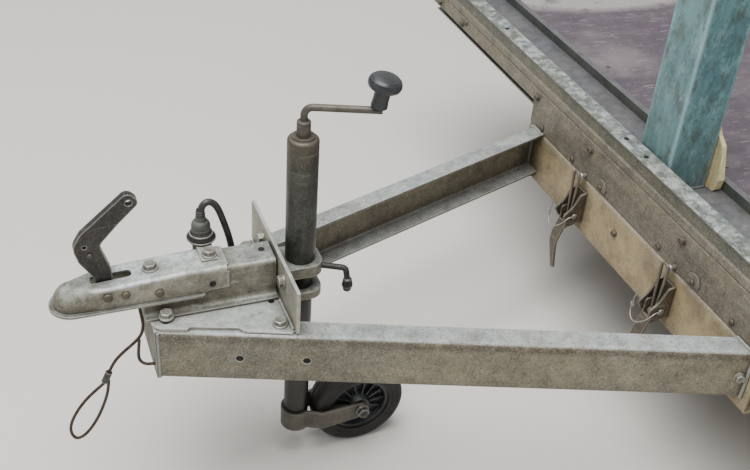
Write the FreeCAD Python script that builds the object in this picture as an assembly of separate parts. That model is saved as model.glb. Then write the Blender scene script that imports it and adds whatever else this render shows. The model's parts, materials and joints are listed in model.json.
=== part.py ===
import FreeCAD, Part
import math
import os

from FreeCAD import Vector

# A tilt-bed flatbed trailer with an A-frame drawbar, parked on its jockey wheel.
# Millimetres. +X is forward to the coupling, +Y is left and +Z is up.
# The origin is on the ground under the middle of the trailer's length and width.

# Bed
bed_length = 3000.0
bed_width = 1800.0
sheet = 3.0
rim_bottom_z = 425.0
rim_height = 75.0
rim_flange = 36.0
rim_groove_z = 455.0
rim_groove_depth = 2.0
rim_groove_width = 5.0
rim_band_top_z = 470.0
rim_band_step = 3.0
corner_reach = 190.0
corner_joint = 3.0
tray_depth = 152.0
tray_floor_z = 444.0
deck_top_z = 464.0
deck_thickness = 18.0
deck_lip = 12.0
deck_gap = 0.3
sill_bottom_z = 380.0
sill_flange = 40.0

# Bed frame
frame_half_width = 380.0
bed_rail_width = 55.0
bed_rail_height = 29.0
bed_rail_wall = 3.0
frame_plate = 5.0
bearer_width = 50.0
bearer_wall = 3.0
bearer_brim = 20.0
bearer_count = 6
bearer_first = 30.0
bearer_last_gap = 270.0

# Chassis
crossmember_bottom_z = 260.0
crossmember_top_z = 376.0
crossmember_depth = 55.0
crossmember_wall = 5.0
rail_width = 40.0
rail_height = 76.0
rail_wall = 4.0
bed_rest_gap = 0.3
cross_tube_size = 50.0
cross_tube_wall = 3.0

# Drawbar
jockey_reach = 617.0
coupling_reach = 385.0
leg_nose_lead = 244.0
leg_nose_half_width = 61.0
leg_root_half_width = 364.0
leg_bottom_z = 283.0
leg_height = 92.0
leg_flange = 38.0
leg_wall = 4.5
leg_bend = 4.0
nose_plate = 5.0

# Coupling
top_plate = 5.0
top_plate_front_lead = 245.0
top_plate_rear_lead = 39.0
top_plate_notch = 6.0
top_plate_front_half_width = 57.0
top_plate_rear_half_width = 124.0
adapter_width = 56.0
adapter_top_z = 447.0
adapter_front_top_z = 440.0
adapter_wall = 4.0
adapter_foot = 14.0
adapter_foot_bend = 8.0
adapter_rear_lead = 47.0
adapter_front_lead = 252.0
coupling_rim_z = 405.0
coupling_rear_lead = 124.0
coupling_step_lead = 166.0
coupling_step_z = 413.0
coupling_half_width = 31.5
coupling_wall = 3.5
coupling_rear_top_z = 451.0
coupling_front_top_z = 443.5
ball_radius = 25.0
ball_clearance = 0.5
ball_z = 413.0
coupling_shoulder = 9.0
handle_lead = 302.0
handle_pin_z = 434.0
coupling_rim_width = 6.5
plug_lead_x = 146.0
plug_y = -47.0
plug_radius = 14.5
coupling_rim_height = 4.0

# Latches
latch_places = (145.0, -153.0)
latch_pivot_out = 21.0
latch_pivot_z = 303.0
latch_link_drop = 15.0
latch_stud_z = 382.0
latch_stud_radius = 5.0
latch_stud_length = 10.0
latch_ring_bar = 2.75
latch_ring_foot = 5.2
latch_ring_top = 9.0

# Jockey wheel stand
stand_tube_radius = 24.0
stand_tube_bore = 21.3
stand_tube_bottom_z = 398.0
stand_tube_top_z = 641.0
inner_tube_radius = 21.0
inner_tube_bore = 18.0
inner_tube_top_z = 490.0
inner_tube_bottom_z = 64.0
jockey_wheel_radius = 84.0
jockey_wheel_width = 46.0
jockey_trail = 113.0
fork_wall = 5.0
fork_side_gap = 6.0
fork_height = 39.0
crank_start_z = 690.0
crank_end_z = 696.0
crank_radius = 105.0
crank_rod = 5.5
knob_radius = 25.0
knob_pin = 4.5
knob_lean = 10.0
mount_plate_lead = 39.0
mount_plate_half_width = 128.0
mount_plate_top_z = 456.0
clamp_top_z = 424.0
clamp_bottom_z = 360.0
clamp_wall = 5.0

# Axle and wheels
axle_share = 0.571
axle_z = 273.0
axle_tube_size = 60.0
axle_tube_wall = 5.0
axle_tube_inset = 60.0
trail_arm = 150.0
trail_arm_width = 24.0
stub_radius = 15.0
tyre_radius = 273.0
tyre_width = 155.0
wheel_gap = 35.0
rim_radius = 165.0
rim_width = 118.0
rim_lip = 12.0
rim_edge = 4.0
rim_wall = 3.5
rim_well = 14.0
tyre_fit = 0.3

# Tilt hinge
pivot_share = 0.601
pivot_z = 338.0
pivot_radius = 12.0
pivot_fit = 0.1
pivot_ear = 8.0
pivot_ear_gap = 7.0

# Things on the bed
post_size = 90.0
post_wall = 4.0
post_top_z = 1250.0
post_setback = 40.0
post_left_edge = 20.0
post_corner = 4.0
wedge_height = 125.0
mudguard_gap = 45.0
mudguard_width = 195.0
mudguard_sheet = 2.0
lamp_inner_y = 640.0
lamp_width = 200.0
lamp_height = 60.0
lamp_depth = 32.0
plate_width = 520.0
plate_height = 110.0

cable_radius = 2.5
lead_radius = 5.5

# Places that follow from the sizes above
bed_front_x = (bed_length + lamp_depth - jockey_reach - coupling_reach) / 2
bed_rear_x = bed_front_x - bed_length
half_bed = bed_width / 2
jockey_x = bed_front_x + jockey_reach
nose_x = jockey_x + coupling_reach
leg_nose_x = jockey_x + leg_nose_lead
leg_slope = (leg_root_half_width - leg_nose_half_width) / (leg_nose_x - bed_front_x)
leg_top_z = leg_bottom_z + leg_height
plate_top_z = leg_top_z + top_plate
axle_x = bed_front_x - axle_share * bed_length
beam_x = axle_x + trail_arm
pivot_x = bed_front_x - pivot_share * bed_length
rim_top_z = rim_bottom_z + rim_height
rail_bottom_z = crossmember_top_z - rail_height
bed_bottom_z = crossmember_top_z + bed_rest_gap
bearer_bottom_z = bed_bottom_z + bed_rail_height
deck_bottom_z = deck_top_z - deck_thickness
tyre_inner_y = half_bed + wheel_gap
wheel_y = tyre_inner_y + tyre_width / 2
axle_tube_half_length = half_bed - axle_tube_inset
jockey_axle_x = jockey_x - jockey_trail
lead_exit = (jockey_x + 93, -59.0)
ball_x = nose_x - ball_radius - ball_clearance - coupling_wall - coupling_rim_width

UP = Vector(0, 0, 1)
FORWARD = Vector(1, 0, 0)
LEFT = Vector(0, 1, 0)


def box(x0, x1, y0, y1, z0, z1):
    return Part.makeBox(x1 - x0, y1 - y0, z1 - z0, Vector(x0, y0, z0))


def rod(radius, start, sweep):
    return Part.makeCylinder(radius, sweep.Length, start, sweep)


def ring(outer, inner, start, sweep):
    return rod(outer, start, sweep).cut(rod(inner, start, sweep))


def mirrored(shape):
    return shape.mirror(Vector(0, 0, 0), LEFT)


def side_by_name(shape):
    """A left-hand shape and its right-hand twin."""
    return (("left", shape), ("right", mirrored(shape)))


def on_side(y):
    """Places (u, v) as X and Z on the plane at y."""
    return lambda u, v: Vector(u, y, v)


def on_level(z):
    """Places (u, v) as X and Y on the plane at z."""
    return lambda u, v: Vector(u, v, z)


def on_front(x):
    """Places (u, v) as Y and Z on the plane at x."""
    return lambda u, v: Vector(x, u, v)


def prism(corners, place, sweep):
    """Solid whose end face runs through (u, v, radius) corners, each rounded by its radius."""
    flat = [Vector(u, v, 0) for u, v, radius in corners]
    edges = []
    ends = []
    for i, corner in enumerate(flat):
        radius = corners[i][2]
        if not radius:
            ends.append((corner, corner, None))
            continue
        back = (flat[i - 1] - corner).normalize()
        ahead = (flat[(i + 1) % len(flat)] - corner).normalize()
        half = back.getAngle(ahead) / 2
        reach = radius / math.tan(half)
        to_centre = (back + ahead).normalize()
        middle = corner + to_centre * (radius / math.sin(half) - radius)
        ends.append((corner + back * reach, corner + ahead * reach, middle))
    for i, (start, end, middle) in enumerate(ends):
        leave = ends[i - 1][1]
        if leave.distanceToPoint(start) > 1e-6:
            edges.append(Part.LineSegment(place(leave.x, leave.y), place(start.x, start.y)).toShape())
        if middle:
            bend = [place(p.x, p.y) for p in (start, middle, end)]
            edges.append(Part.Arc(*bend).toShape())
    return Part.Face(Part.Wire(edges)).extrude(sweep)


def folded(bends, thickness, place, sweep):
    """Sheet folded along (u, v, inside radius) points, with its thickness to their left."""
    line = [Vector(u, v, 0) for u, v, radius in bends]
    near = []
    far = []
    for i, (u, v, radius) in enumerate(bends):
        first = line[i] - line[i - 1] if i else line[1] - line[0]
        second = line[i + 1] - line[i] if i + 1 < len(line) else first
        first.normalize()
        second = Vector(second).normalize()
        left = Vector(-second.y, second.x, 0)
        mitre = (Vector(-first.y, first.x, 0) + left).normalize()
        reach = thickness / mitre.dot(left)
        turns_left = first.cross(second).z * thickness > 0
        wide = radius + abs(thickness) if radius else 0
        near.append((u, v, wide if turns_left else radius))
        far.append((u + mitre.x * reach, v + mitre.y * reach, radius if turns_left else wide))
    return prism(near + far[::-1], place, sweep)


def box_tube(x0, x1, y0, y1, z0, z1, wall, along):
    """Hollow rectangular tube, open at both ends along X or Y."""
    outer = box(x0, x1, y0, y1, z0, z1)
    if along == "x":
        return outer.cut(box(x0, x1, y0 + wall, y1 - wall, z0 + wall, z1 - wall))
    return outer.cut(box(x0 + wall, x1 - wall, y0, y1, z0 + wall, z1 - wall))


def revolved(corners, centre, axis_angle=360):
    """Solid turned about the Y axis through centre from (y, radius, round) corners."""
    place = lambda u, v: Vector(centre.x, u, centre.z + v)
    face = prism(corners, place, FORWARD).Faces
    flat = min(face, key=lambda f: f.CenterOfMass.x if abs(f.normalAt(0, 0).x) > 0.9 else 1e9)
    return flat.revolve(centre, LEFT, axis_angle)


def revolved_up(corners, foot):
    """Solid turned about a vertical axis through foot from (radius, height) corners."""
    outline = [foot + FORWARD * r + UP * z for r, z in corners]
    return Part.Face(Part.makePolygon(outline + outline[:1])).revolve(foot, UP, 360)


def bent_rod(stops, bend, radius):
    """Round bar along the stops, with one bend radius at every corner."""
    edges = []
    leave = stops[0]
    for before, corner, after in zip(stops, stops[1:], stops[2:]):
        back = (before - corner).normalize()
        ahead = (after - corner).normalize()
        half = back.getAngle(ahead) / 2
        start = corner + back * (bend / math.tan(half))
        end = corner + ahead * (bend / math.tan(half))
        middle = corner + (back + ahead).normalize() * (bend / math.sin(half) - bend)
        edges += [Part.LineSegment(leave, start).toShape(), Part.Arc(start, middle, end).toShape()]
        leave = end
    edges.append(Part.LineSegment(leave, stops[-1]).toShape())
    section = Part.Wire(Part.makeCircle(radius, stops[0], stops[1] - stops[0]))
    return Part.Wire(edges).makePipeShell([section], True, False)


def tube_along(points, radius, name):
    """Cord: straight runs joined by tangent arcs, and its tightest radius and length printed."""
    stops = [Vector(*p) for p in points]
    edges = []
    leave = stops[0]
    radii = []
    for before, corner, after in zip(stops, stops[1:], stops[2:]):
        back = before - corner
        ahead = after - corner
        turn = math.pi - back.getAngle(ahead)
        reach = 0.45 * min(back.Length, ahead.Length)
        radii.append(reach / math.tan(turn / 2))
        back.normalize()
        ahead.normalize()
        start = corner + back * reach
        end = corner + ahead * reach
        sink = radii[-1] * (1 / math.cos(turn / 2) - 1)
        middle = corner + (back + ahead).normalize() * sink
        edges.append(Part.LineSegment(leave, start).toShape())
        edges.append(Part.Arc(start, middle, end).toShape())
        leave = end
    edges.append(Part.LineSegment(leave, stops[-1]).toShape())
    path = Part.Wire(edges)
    section = Part.Wire(Part.makeCircle(radius, stops[0], stops[1] - stops[0]))
    solid = path.makePipeShell([section], True, False)
    expected = math.pi * radius ** 2 * path.Length
    print(f"{name}: length {path.Length:.0f}, tightest radius {min(radii):.0f}, "
          f"volume ratio {solid.Volume / expected:.4f}")
    return solid


def leg_web_y(x):
    """Distance of a drawbar leg's outer face from the centreline at x."""
    return leg_nose_half_width + (leg_nose_x - x) * leg_slope


def corner_keep(side):
    """Region of the bed nearer its front edge than its side edge, for mitred rims."""
    deep = 400.0
    corners = [(bed_front_x, side * half_bed, 0), (bed_front_x - deep, side * (half_bed - deep), 0),
               (bed_front_x - deep, 0, 0), (bed_front_x, 0, 0)]
    return prism(corners, on_level(0), UP * 1000)


def rim_bends(outward, edge):
    """Rim section: face, groove, band, recessed strip and top flange, as (u, v, bend) points.

    outward is the direction of the outer face along u, and edge is that face's place."""
    inward = -outward
    half_groove = rim_groove_width / 2
    return [
        (edge, rim_bottom_z, 0),
        (edge, rim_groove_z - half_groove, 0),
        (edge + inward * rim_groove_depth, rim_groove_z, 0),
        (edge, rim_groove_z + half_groove, 0),
        (edge, rim_band_top_z, 0),
        (edge + inward * rim_band_step, rim_band_top_z + rim_band_step, 0),
        (edge + inward * rim_band_step, rim_top_z - 2 * sheet, 0),
        (edge, rim_top_z - sheet, 0),
        (edge, rim_top_z, 0),
        (edge + inward * rim_flange, rim_top_z, 0),
    ]


def rim_section(outward, edge, place, sweep):
    """Closed rim outline: the outer face's points, then the same moved in by the sheet."""
    inward = -outward
    half_groove = rim_groove_width / 2
    outer = rim_bends(outward, edge)
    under = rim_top_z - sheet
    inner = [
        (edge + inward * rim_flange, under, 0),
        (edge + inward * (rim_band_step + sheet), under, 0),
        (edge + inward * (rim_band_step + sheet), rim_band_top_z, 0),
        (edge + inward * sheet, rim_band_top_z - sheet, 0),
        (edge + inward * sheet, rim_groove_z + half_groove, 0),
        (edge + inward * (rim_groove_depth + sheet), rim_groove_z, 0),
        (edge + inward * sheet, rim_groove_z - half_groove, 0),
        (edge + inward * sheet, rim_bottom_z, 0),
    ]
    return prism(outer + inner, place, sweep)


def bed_rims():
    """Front rim, side rims and the two corner pieces that wrap the front corners."""
    front = rim_section(1, bed_front_x, on_side(-half_bed), LEFT * bed_width)
    side = rim_section(1, half_bed, on_front(bed_rear_x), FORWARD * bed_length)
    keep = corner_keep(1)
    left_front = front.common(box(bed_rear_x, nose_x, 0, half_bed, 0, 2000)).common(keep)
    left_side = side.cut(keep)
    joint_y = half_bed - corner_reach
    joint_x = bed_front_x - corner_reach
    corner = left_front.common(box(bed_rear_x, nose_x, joint_y, half_bed, 0, 2000))
    corner = corner.fuse(left_side.common(box(joint_x, nose_x, 0, half_bed, 0, 2000))).removeSplitter()
    inner_y = joint_y - corner_joint / 10
    middle = front.common(box(bed_rear_x, nose_x, -inner_y, inner_y, 0, 2000))
    long_side = left_side.common(box(bed_rear_x + sheet, joint_x - corner_joint / 10, 0, half_bed, 0, 2000))
    nodes = {"bed_front_rim": middle, "bed_corners": Part.Compound([corner, mirrored(corner)])}
    for name, shape in side_by_name(long_side):
        nodes[f"bed_side_rim_{name}"] = shape
    return nodes


def bed_floor():
    """Front tray, plywood deck, rear sill and the bearers under them."""
    inner_y = half_bed - rim_band_step - sheet - deck_gap
    floor_y = half_bed - rim_groove_depth - sheet - deck_gap
    tray_front = bed_front_x - sheet - rim_groove_depth - deck_gap
    tray_rear = bed_front_x - tray_depth
    tray = box(tray_rear, tray_front, -floor_y, floor_y, tray_floor_z - sheet, tray_floor_z)
    wall = box(tray_rear - sheet, tray_rear, -floor_y, floor_y, tray_floor_z - sheet, deck_top_z)
    lip = box(tray_rear - deck_lip, tray_rear, -floor_y, floor_y, deck_top_z - sheet, deck_top_z)
    tray = tray.fuse([wall, lip]).removeSplitter()
    deck_rear = bed_rear_x + sheet + deck_gap
    deck_front = tray_rear - sheet - deck_gap
    deck = box(deck_rear, deck_front, -floor_y, floor_y, deck_bottom_z, deck_top_z)
    rebate_z = deck_top_z - sheet - deck_gap
    deck = deck.cut(box(tray_rear - deck_lip - deck_gap, tray_rear, -half_bed, half_bed, rebate_z, 1000))
    sill = folded([(bed_rear_x, deck_top_z, 0), (bed_rear_x, sill_bottom_z, 2),
                   (bed_rear_x + sill_flange, sill_bottom_z, 0)], sheet, on_side(-half_bed),
                  LEFT * bed_width)
    return {"bed_tray": tray, "bed_deck": deck, "bed_rear_sill": sill}


def bearers():
    """Hat-section bearers spaced evenly along the bed. The first lies under the tray."""
    reach = half_bed - sheet - rim_groove_depth - deck_gap
    pitch = (bed_length - bearer_first - bearer_last_gap - bearer_width) / (bearer_count - 1)
    shapes = []
    for i in range(bearer_count):
        top = deck_bottom_z if i else tray_floor_z - sheet
        front = bed_front_x - bearer_first - i * pitch
        rear = front - bearer_width
        brim = bearer_bottom_z + bearer_wall
        bends = [(rear - bearer_brim, brim, 0), (rear, brim, 0), (rear, top, 0), (front, top, 0),
                 (front, brim, 0), (front + bearer_brim, brim, 0)]
        shapes.append(folded(bends, -bearer_wall, on_side(-reach), LEFT * (2 * reach)))
    return Part.Compound(shapes)


def bed_frame():
    """Front plate, two rails and their hinge ears, which tilt with the bed."""
    plate_back = bed_front_x - frame_plate
    plate = box(plate_back, bed_front_x, -frame_half_width, frame_half_width, bed_bottom_z, rim_bottom_z)
    inner = frame_half_width - bed_rail_width
    rail = box_tube(bed_rear_x + sill_flange, plate_back, inner, frame_half_width, bed_bottom_z,
                    bearer_bottom_z, bed_rail_wall, "x")
    ear_inner = frame_half_width - rail_width - pivot_ear_gap - pivot_ear
    width = 90.0
    low = pivot_z - 26
    ear = prism([(pivot_x - width / 2, bed_bottom_z, 0), (pivot_x - 26, low, 22), (pivot_x + 26, low, 22),
                 (pivot_x + width / 2, bed_bottom_z, 0)], on_side(ear_inner), LEFT * pivot_ear)
    ear = ear.cut(rod(pivot_radius + pivot_fit, Vector(pivot_x, 0, pivot_z), LEFT * half_bed))
    for y in latch_places:
        stud = rod(latch_stud_radius, Vector(bed_front_x, y, latch_stud_z), FORWARD * latch_stud_length)
        plate = plate.fuse(stud)
    return {"bed_frame_front": plate, "bed_frame_rails": Part.Compound([rail, mirrored(rail)]),
            "bed_hinge_ears": Part.Compound([ear, mirrored(ear)])}


def chassis():
    """Front crossmember, two rails to the tilt hinge, a cross tube and the hinge pins."""
    front = bed_front_x
    cross = folded([(front - crossmember_depth, crossmember_top_z, 0), (front, crossmember_top_z, 3),
                    (front, crossmember_bottom_z, 3), (front - crossmember_depth, crossmember_bottom_z, 0)],
                   -crossmember_wall, on_side(-frame_half_width), LEFT * (2 * frame_half_width))
    rail_front = front - crossmember_depth
    rail_rear = pivot_x - 40
    inner = frame_half_width - rail_width
    rail = box_tube(rail_rear, rail_front, inner, frame_half_width, rail_bottom_z, crossmember_top_z,
                    rail_wall, "x")
    slope = prism([(pivot_x + 22, crossmember_top_z, 0), (rail_rear - 1, crossmember_top_z, 0),
                   (rail_rear - 1, crossmember_top_z - 29, 0)], on_side(0), LEFT * half_bed)
    pin_hole = rod(pivot_radius, Vector(pivot_x, 0, pivot_z), LEFT * half_bed)
    rail = rail.cut(slope).cut(pin_hole)
    pin_start = inner - pivot_ear_gap - pivot_ear - 6
    pin = rod(pivot_radius, Vector(pivot_x, pin_start, pivot_z), LEFT * (frame_half_width + 4 - pin_start))
    tube_x = pivot_x + 76
    mid_z = (rail_bottom_z + crossmember_top_z) / 2
    half = cross_tube_size / 2
    tube = box_tube(tube_x - half, tube_x + half, -inner, inner, mid_z - half, mid_z + half,
                    cross_tube_wall, "y")
    nodes = {"front_crossmember": cross, "chassis_cross_tube": tube,
             "tilt_pins": Part.Compound([pin, mirrored(pin)])}
    for name, shape in side_by_name(rail):
        nodes[f"chassis_rail_{name}"] = shape
    return nodes


def drawbar():
    """Two channel legs that meet at the nose, the plate that closes them and the plate on top."""
    spread = math.atan(leg_slope)
    along = Vector(-math.cos(spread), math.sin(spread), 0)
    inward = Vector(-math.sin(spread), -math.cos(spread), 0)
    spare = 60.0
    start = Vector(leg_nose_x, leg_nose_half_width, 0) - along * spare
    length = (leg_nose_x - bed_front_x) / math.cos(spread) + 2 * spare
    place = lambda u, v: start + inward * u + UP * v
    bends = [(leg_flange, leg_top_z, 0), (0, leg_top_z, leg_bend), (0, leg_bottom_z, leg_bend),
             (leg_flange, leg_bottom_z, 0)]
    leg = folded(bends, leg_wall, place, along * length)
    leg_front = leg_nose_x - nose_plate
    leg = leg.common(box(bed_front_x, leg_front, 0, half_bed, 0, 1000))
    hole_z = leg_bottom_z + leg_height / 2
    for setback in (119.0, 215.0):
        x = leg_nose_x - setback
        leg = leg.cut(rod(6, Vector(x, leg_web_y(x), hole_z) - inward * 5, inward * 20))
    nose = box(leg_front, leg_nose_x, -leg_nose_half_width, leg_nose_half_width, leg_bottom_z, leg_top_z)
    slot = prism([(38, 297, 4), (54, 297, 4), (54, 309, 4), (38, 309, 4)], on_front(leg_front - 1),
                 FORWARD * 20)
    nose = nose.cut(slot)
    nodes = {"drawbar_nose_plate": nose, "drawbar_top_plate": drawbar_top()}
    for name, shape in side_by_name(leg):
        nodes[f"drawbar_leg_{name}"] = shape
    return nodes


def drawbar_top():
    """Tapered plate on the legs: notched side edges, bolt holes and the hole for the plug's lead."""
    front_x = jockey_x + top_plate_front_lead
    rear_x = jockey_x + top_plate_rear_lead
    wide = top_plate_rear_half_width
    narrow = top_plate_front_half_width
    edge_y = lambda x: narrow + (wide - narrow) * (front_x - x) / (front_x - rear_x)
    notch_front = front_x - 48
    notch_rear = front_x - 128
    inset = top_plate_notch
    side = [(front_x, narrow, 20), (notch_front, edge_y(notch_front), 0),
            (notch_front - inset, edge_y(notch_front - inset) - inset, 0),
            (notch_rear + inset, edge_y(notch_rear + inset) - inset, 0),
            (notch_rear, edge_y(notch_rear), 0), (rear_x, wide, 6)]
    outline = side + [(x, -y, radius) for x, y, radius in side[::-1]]
    plate = prism(outline, on_level(leg_top_z), UP * top_plate)
    below = UP * (leg_top_z - 1)
    for x, y, radius in ((front_x - 22, 46, 6.5), (rear_x + 24, 100, 6.5), (rear_x + 20, 44, 5)):
        hole = rod(radius, Vector(x, y, 0) + below, UP * 10)
        plate = plate.cut(hole).cut(mirrored(hole))
    lead_hole = rod(lead_radius + 3, Vector(*lead_exit, 0) + below, UP * 10)
    return plate.cut(lead_hole)


def arch(x, half_width, bottom, top, shoulder):
    """Closed section across the coupling at x: upright sides, two shoulders and a flat top."""
    w = half_width
    k = shoulder * (1 - math.sqrt(0.5))
    points = [(w, bottom), (w, top - shoulder), (w - k, top - k), (w - shoulder, top),
              (shoulder - w, top), (k - w, top - k), (-w, top - shoulder), (-w, bottom)]
    p = [Vector(x, y, z) for y, z in points]
    return Part.Wire([Part.LineSegment(p[0], p[1]).toShape(), Part.Arc(p[1], p[2], p[3]).toShape(),
                      Part.LineSegment(p[3], p[4]).toShape(), Part.Arc(p[4], p[5], p[6]).toShape(),
                      Part.LineSegment(p[6], p[7]).toShape(), Part.LineSegment(p[7], p[0]).toShape()])


def coupling_form(gap, bottom):
    """Body of the coupling and its dome over the ball, drawn in by gap on every side."""
    ball_r = ball_radius + ball_clearance + coupling_wall - gap
    wide = coupling_half_width - gap
    rear_x = jockey_x + coupling_rear_lead
    shoulder = coupling_shoulder - gap / 2
    rear = arch(rear_x, wide, bottom, coupling_rear_top_z - gap, shoulder)
    middle = arch(rear_x + 60, wide, bottom, coupling_rear_top_z - gap, shoulder)
    neck = arch(ball_x - 42, wide, bottom, coupling_front_top_z - gap + 1, shoulder)
    front = arch(ball_x, ball_r, bottom, ball_z + ball_r - 0.1, ball_r - 1)
    body = Part.makeLoft([rear, middle], True, True)
    body = body.fuse([Part.makeLoft([middle, neck], True, True), Part.makeLoft([neck, front], True, True)])
    dome = Part.makeSphere(ball_r, Vector(ball_x, 0, ball_z))
    dome = dome.common(box(ball_x - 50, nose_x, -50, 50, ball_z, 600))
    barrel = rod(ball_r, Vector(ball_x, 0, bottom), UP * (ball_z - bottom))
    return body, dome.fuse(barrel)


def coupling():
    """Pressed coupling head over its flared adapter, and the raised handle."""
    rear_x = jockey_x + coupling_rear_lead
    adapter_rear = jockey_x + adapter_rear_lead
    adapter_front = jockey_x + adapter_front_lead
    half = adapter_width / 2
    side = [(adapter_rear, plate_top_z, 0), (adapter_rear, adapter_top_z, 0), (rear_x, adapter_top_z, 0),
            (adapter_front, adapter_front_top_z, 0), (adapter_front, plate_top_z, 0)]
    adapter = prism(side, on_side(-half), LEFT * adapter_width)
    adapter = adapter.makeFillet(7, [e for e in adapter.Edges if e.Length > 70 and
                                     e.BoundBox.ZMin > adapter_front_top_z - 1])
    foot = half + adapter_foot
    feet = box(adapter_rear, adapter_front, -foot, foot, plate_top_z, plate_top_z + adapter_wall)
    adapter = adapter.fuse(feet).removeSplitter()
    foot_top = plate_top_z + adapter_wall
    corners = [e for e in adapter.Edges if e.Length > 150 and abs(e.BoundBox.ZMin - foot_top) < 0.1 and
               abs(e.BoundBox.ZMax - foot_top) < 0.1 and abs(abs(e.CenterOfMass.y) - half) < 0.1]
    adapter = adapter.makeFillet(adapter_foot_bend, corners)
    inside = [(adapter_rear - 1, plate_top_z - 1, 0), (adapter_rear - 1, adapter_top_z - adapter_wall, 0),
              (rear_x, adapter_top_z - adapter_wall, 0),
              (adapter_front + 1, adapter_front_top_z - adapter_wall, 0), (adapter_front + 1, plate_top_z - 1, 0)]
    hollow = prism(inside, on_side(adapter_wall - half), LEFT * (adapter_width - 2 * adapter_wall))
    lug = box(adapter_front - 8, adapter_front + 12, 14, 26, 424, adapter_front_top_z - adapter_wall + 1)
    adapter = adapter.cut(hollow).fuse(lug).removeSplitter()

    body, dome = coupling_form(0, coupling_rim_z)
    skirt = coupling_half_width + 4
    rim_outline = [(rear_x, skirt, 4), (rear_x, -skirt, 4), (ball_x, -skirt, 0), (ball_x, skirt, 0)]
    rim = prism(rim_outline, on_level(coupling_rim_z), UP * coupling_rim_height)
    nose_rim = rod(ball_radius + ball_clearance + coupling_wall + coupling_rim_width,
                   Vector(ball_x, 0, coupling_rim_z), UP * coupling_rim_height)
    head = body.fuse([dome, rim, nose_rim])
    room, cup = coupling_form(coupling_wall, coupling_rim_z - 1)
    room = room.common(box(rear_x - 1, ball_x - 14, -50, 50, 0, 600))
    room = room.fuse(box(rear_x - 1, rear_x + 1, -coupling_half_width + coupling_wall,
                         coupling_half_width - coupling_wall, 0, coupling_rear_top_z - 12))
    handle_x = jockey_x + handle_lead
    slot = prism([(handle_x - 40, -8.5, 7), (handle_x + 20, -8.5, 2), (handle_x + 20, 8.5, 2),
                  (handle_x - 40, 8.5, 7)], on_level(430), UP * 40)
    step_x = jockey_x + coupling_step_lead
    step = prism([(rear_x - 1, coupling_rim_z - 1, 0), (rear_x - 1, coupling_step_z, 0),
                  (step_x - 12, coupling_step_z, 0), (step_x, coupling_rim_z - 1, 0)], on_side(-50), LEFT * 100)
    head = head.cut(room.fuse([cup, slot, step])).removeSplitter()

    x = handle_x
    handle = prism([
        (x - 12, 424, 8), (x + 12, 424, 8), (x + 14, 452, 24), (x + 33, 482, 30), (x + 40, 508, 22),
        (x + 27, 530, 20), (x - 43, 591, 11), (x - 61, 573, 10), (x - 28, 541, 60), (x + 2, 508, 13),
        (x - 12, 462, 24),
    ], on_side(-6), LEFT * 12)
    pin_at = Vector(handle_x, 0, handle_pin_z)
    wide = coupling_half_width
    handle = handle.cut(rod(5, Vector(x - 44, -10, 573), LEFT * 20))
    handle = handle.cut(rod(3, Vector(x + 23, -10, 508), LEFT * 20))
    handle = handle.fuse(rod(4.1, pin_at - LEFT * (wide + 3), LEFT * (2 * wide + 6))).removeSplitter()
    head = head.cut(rod(4.2, pin_at - LEFT * 2 * wide, LEFT * (4 * wide)))
    return {"coupling_adapter": adapter, "coupling_head": head, "coupling_handle": handle}


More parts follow.
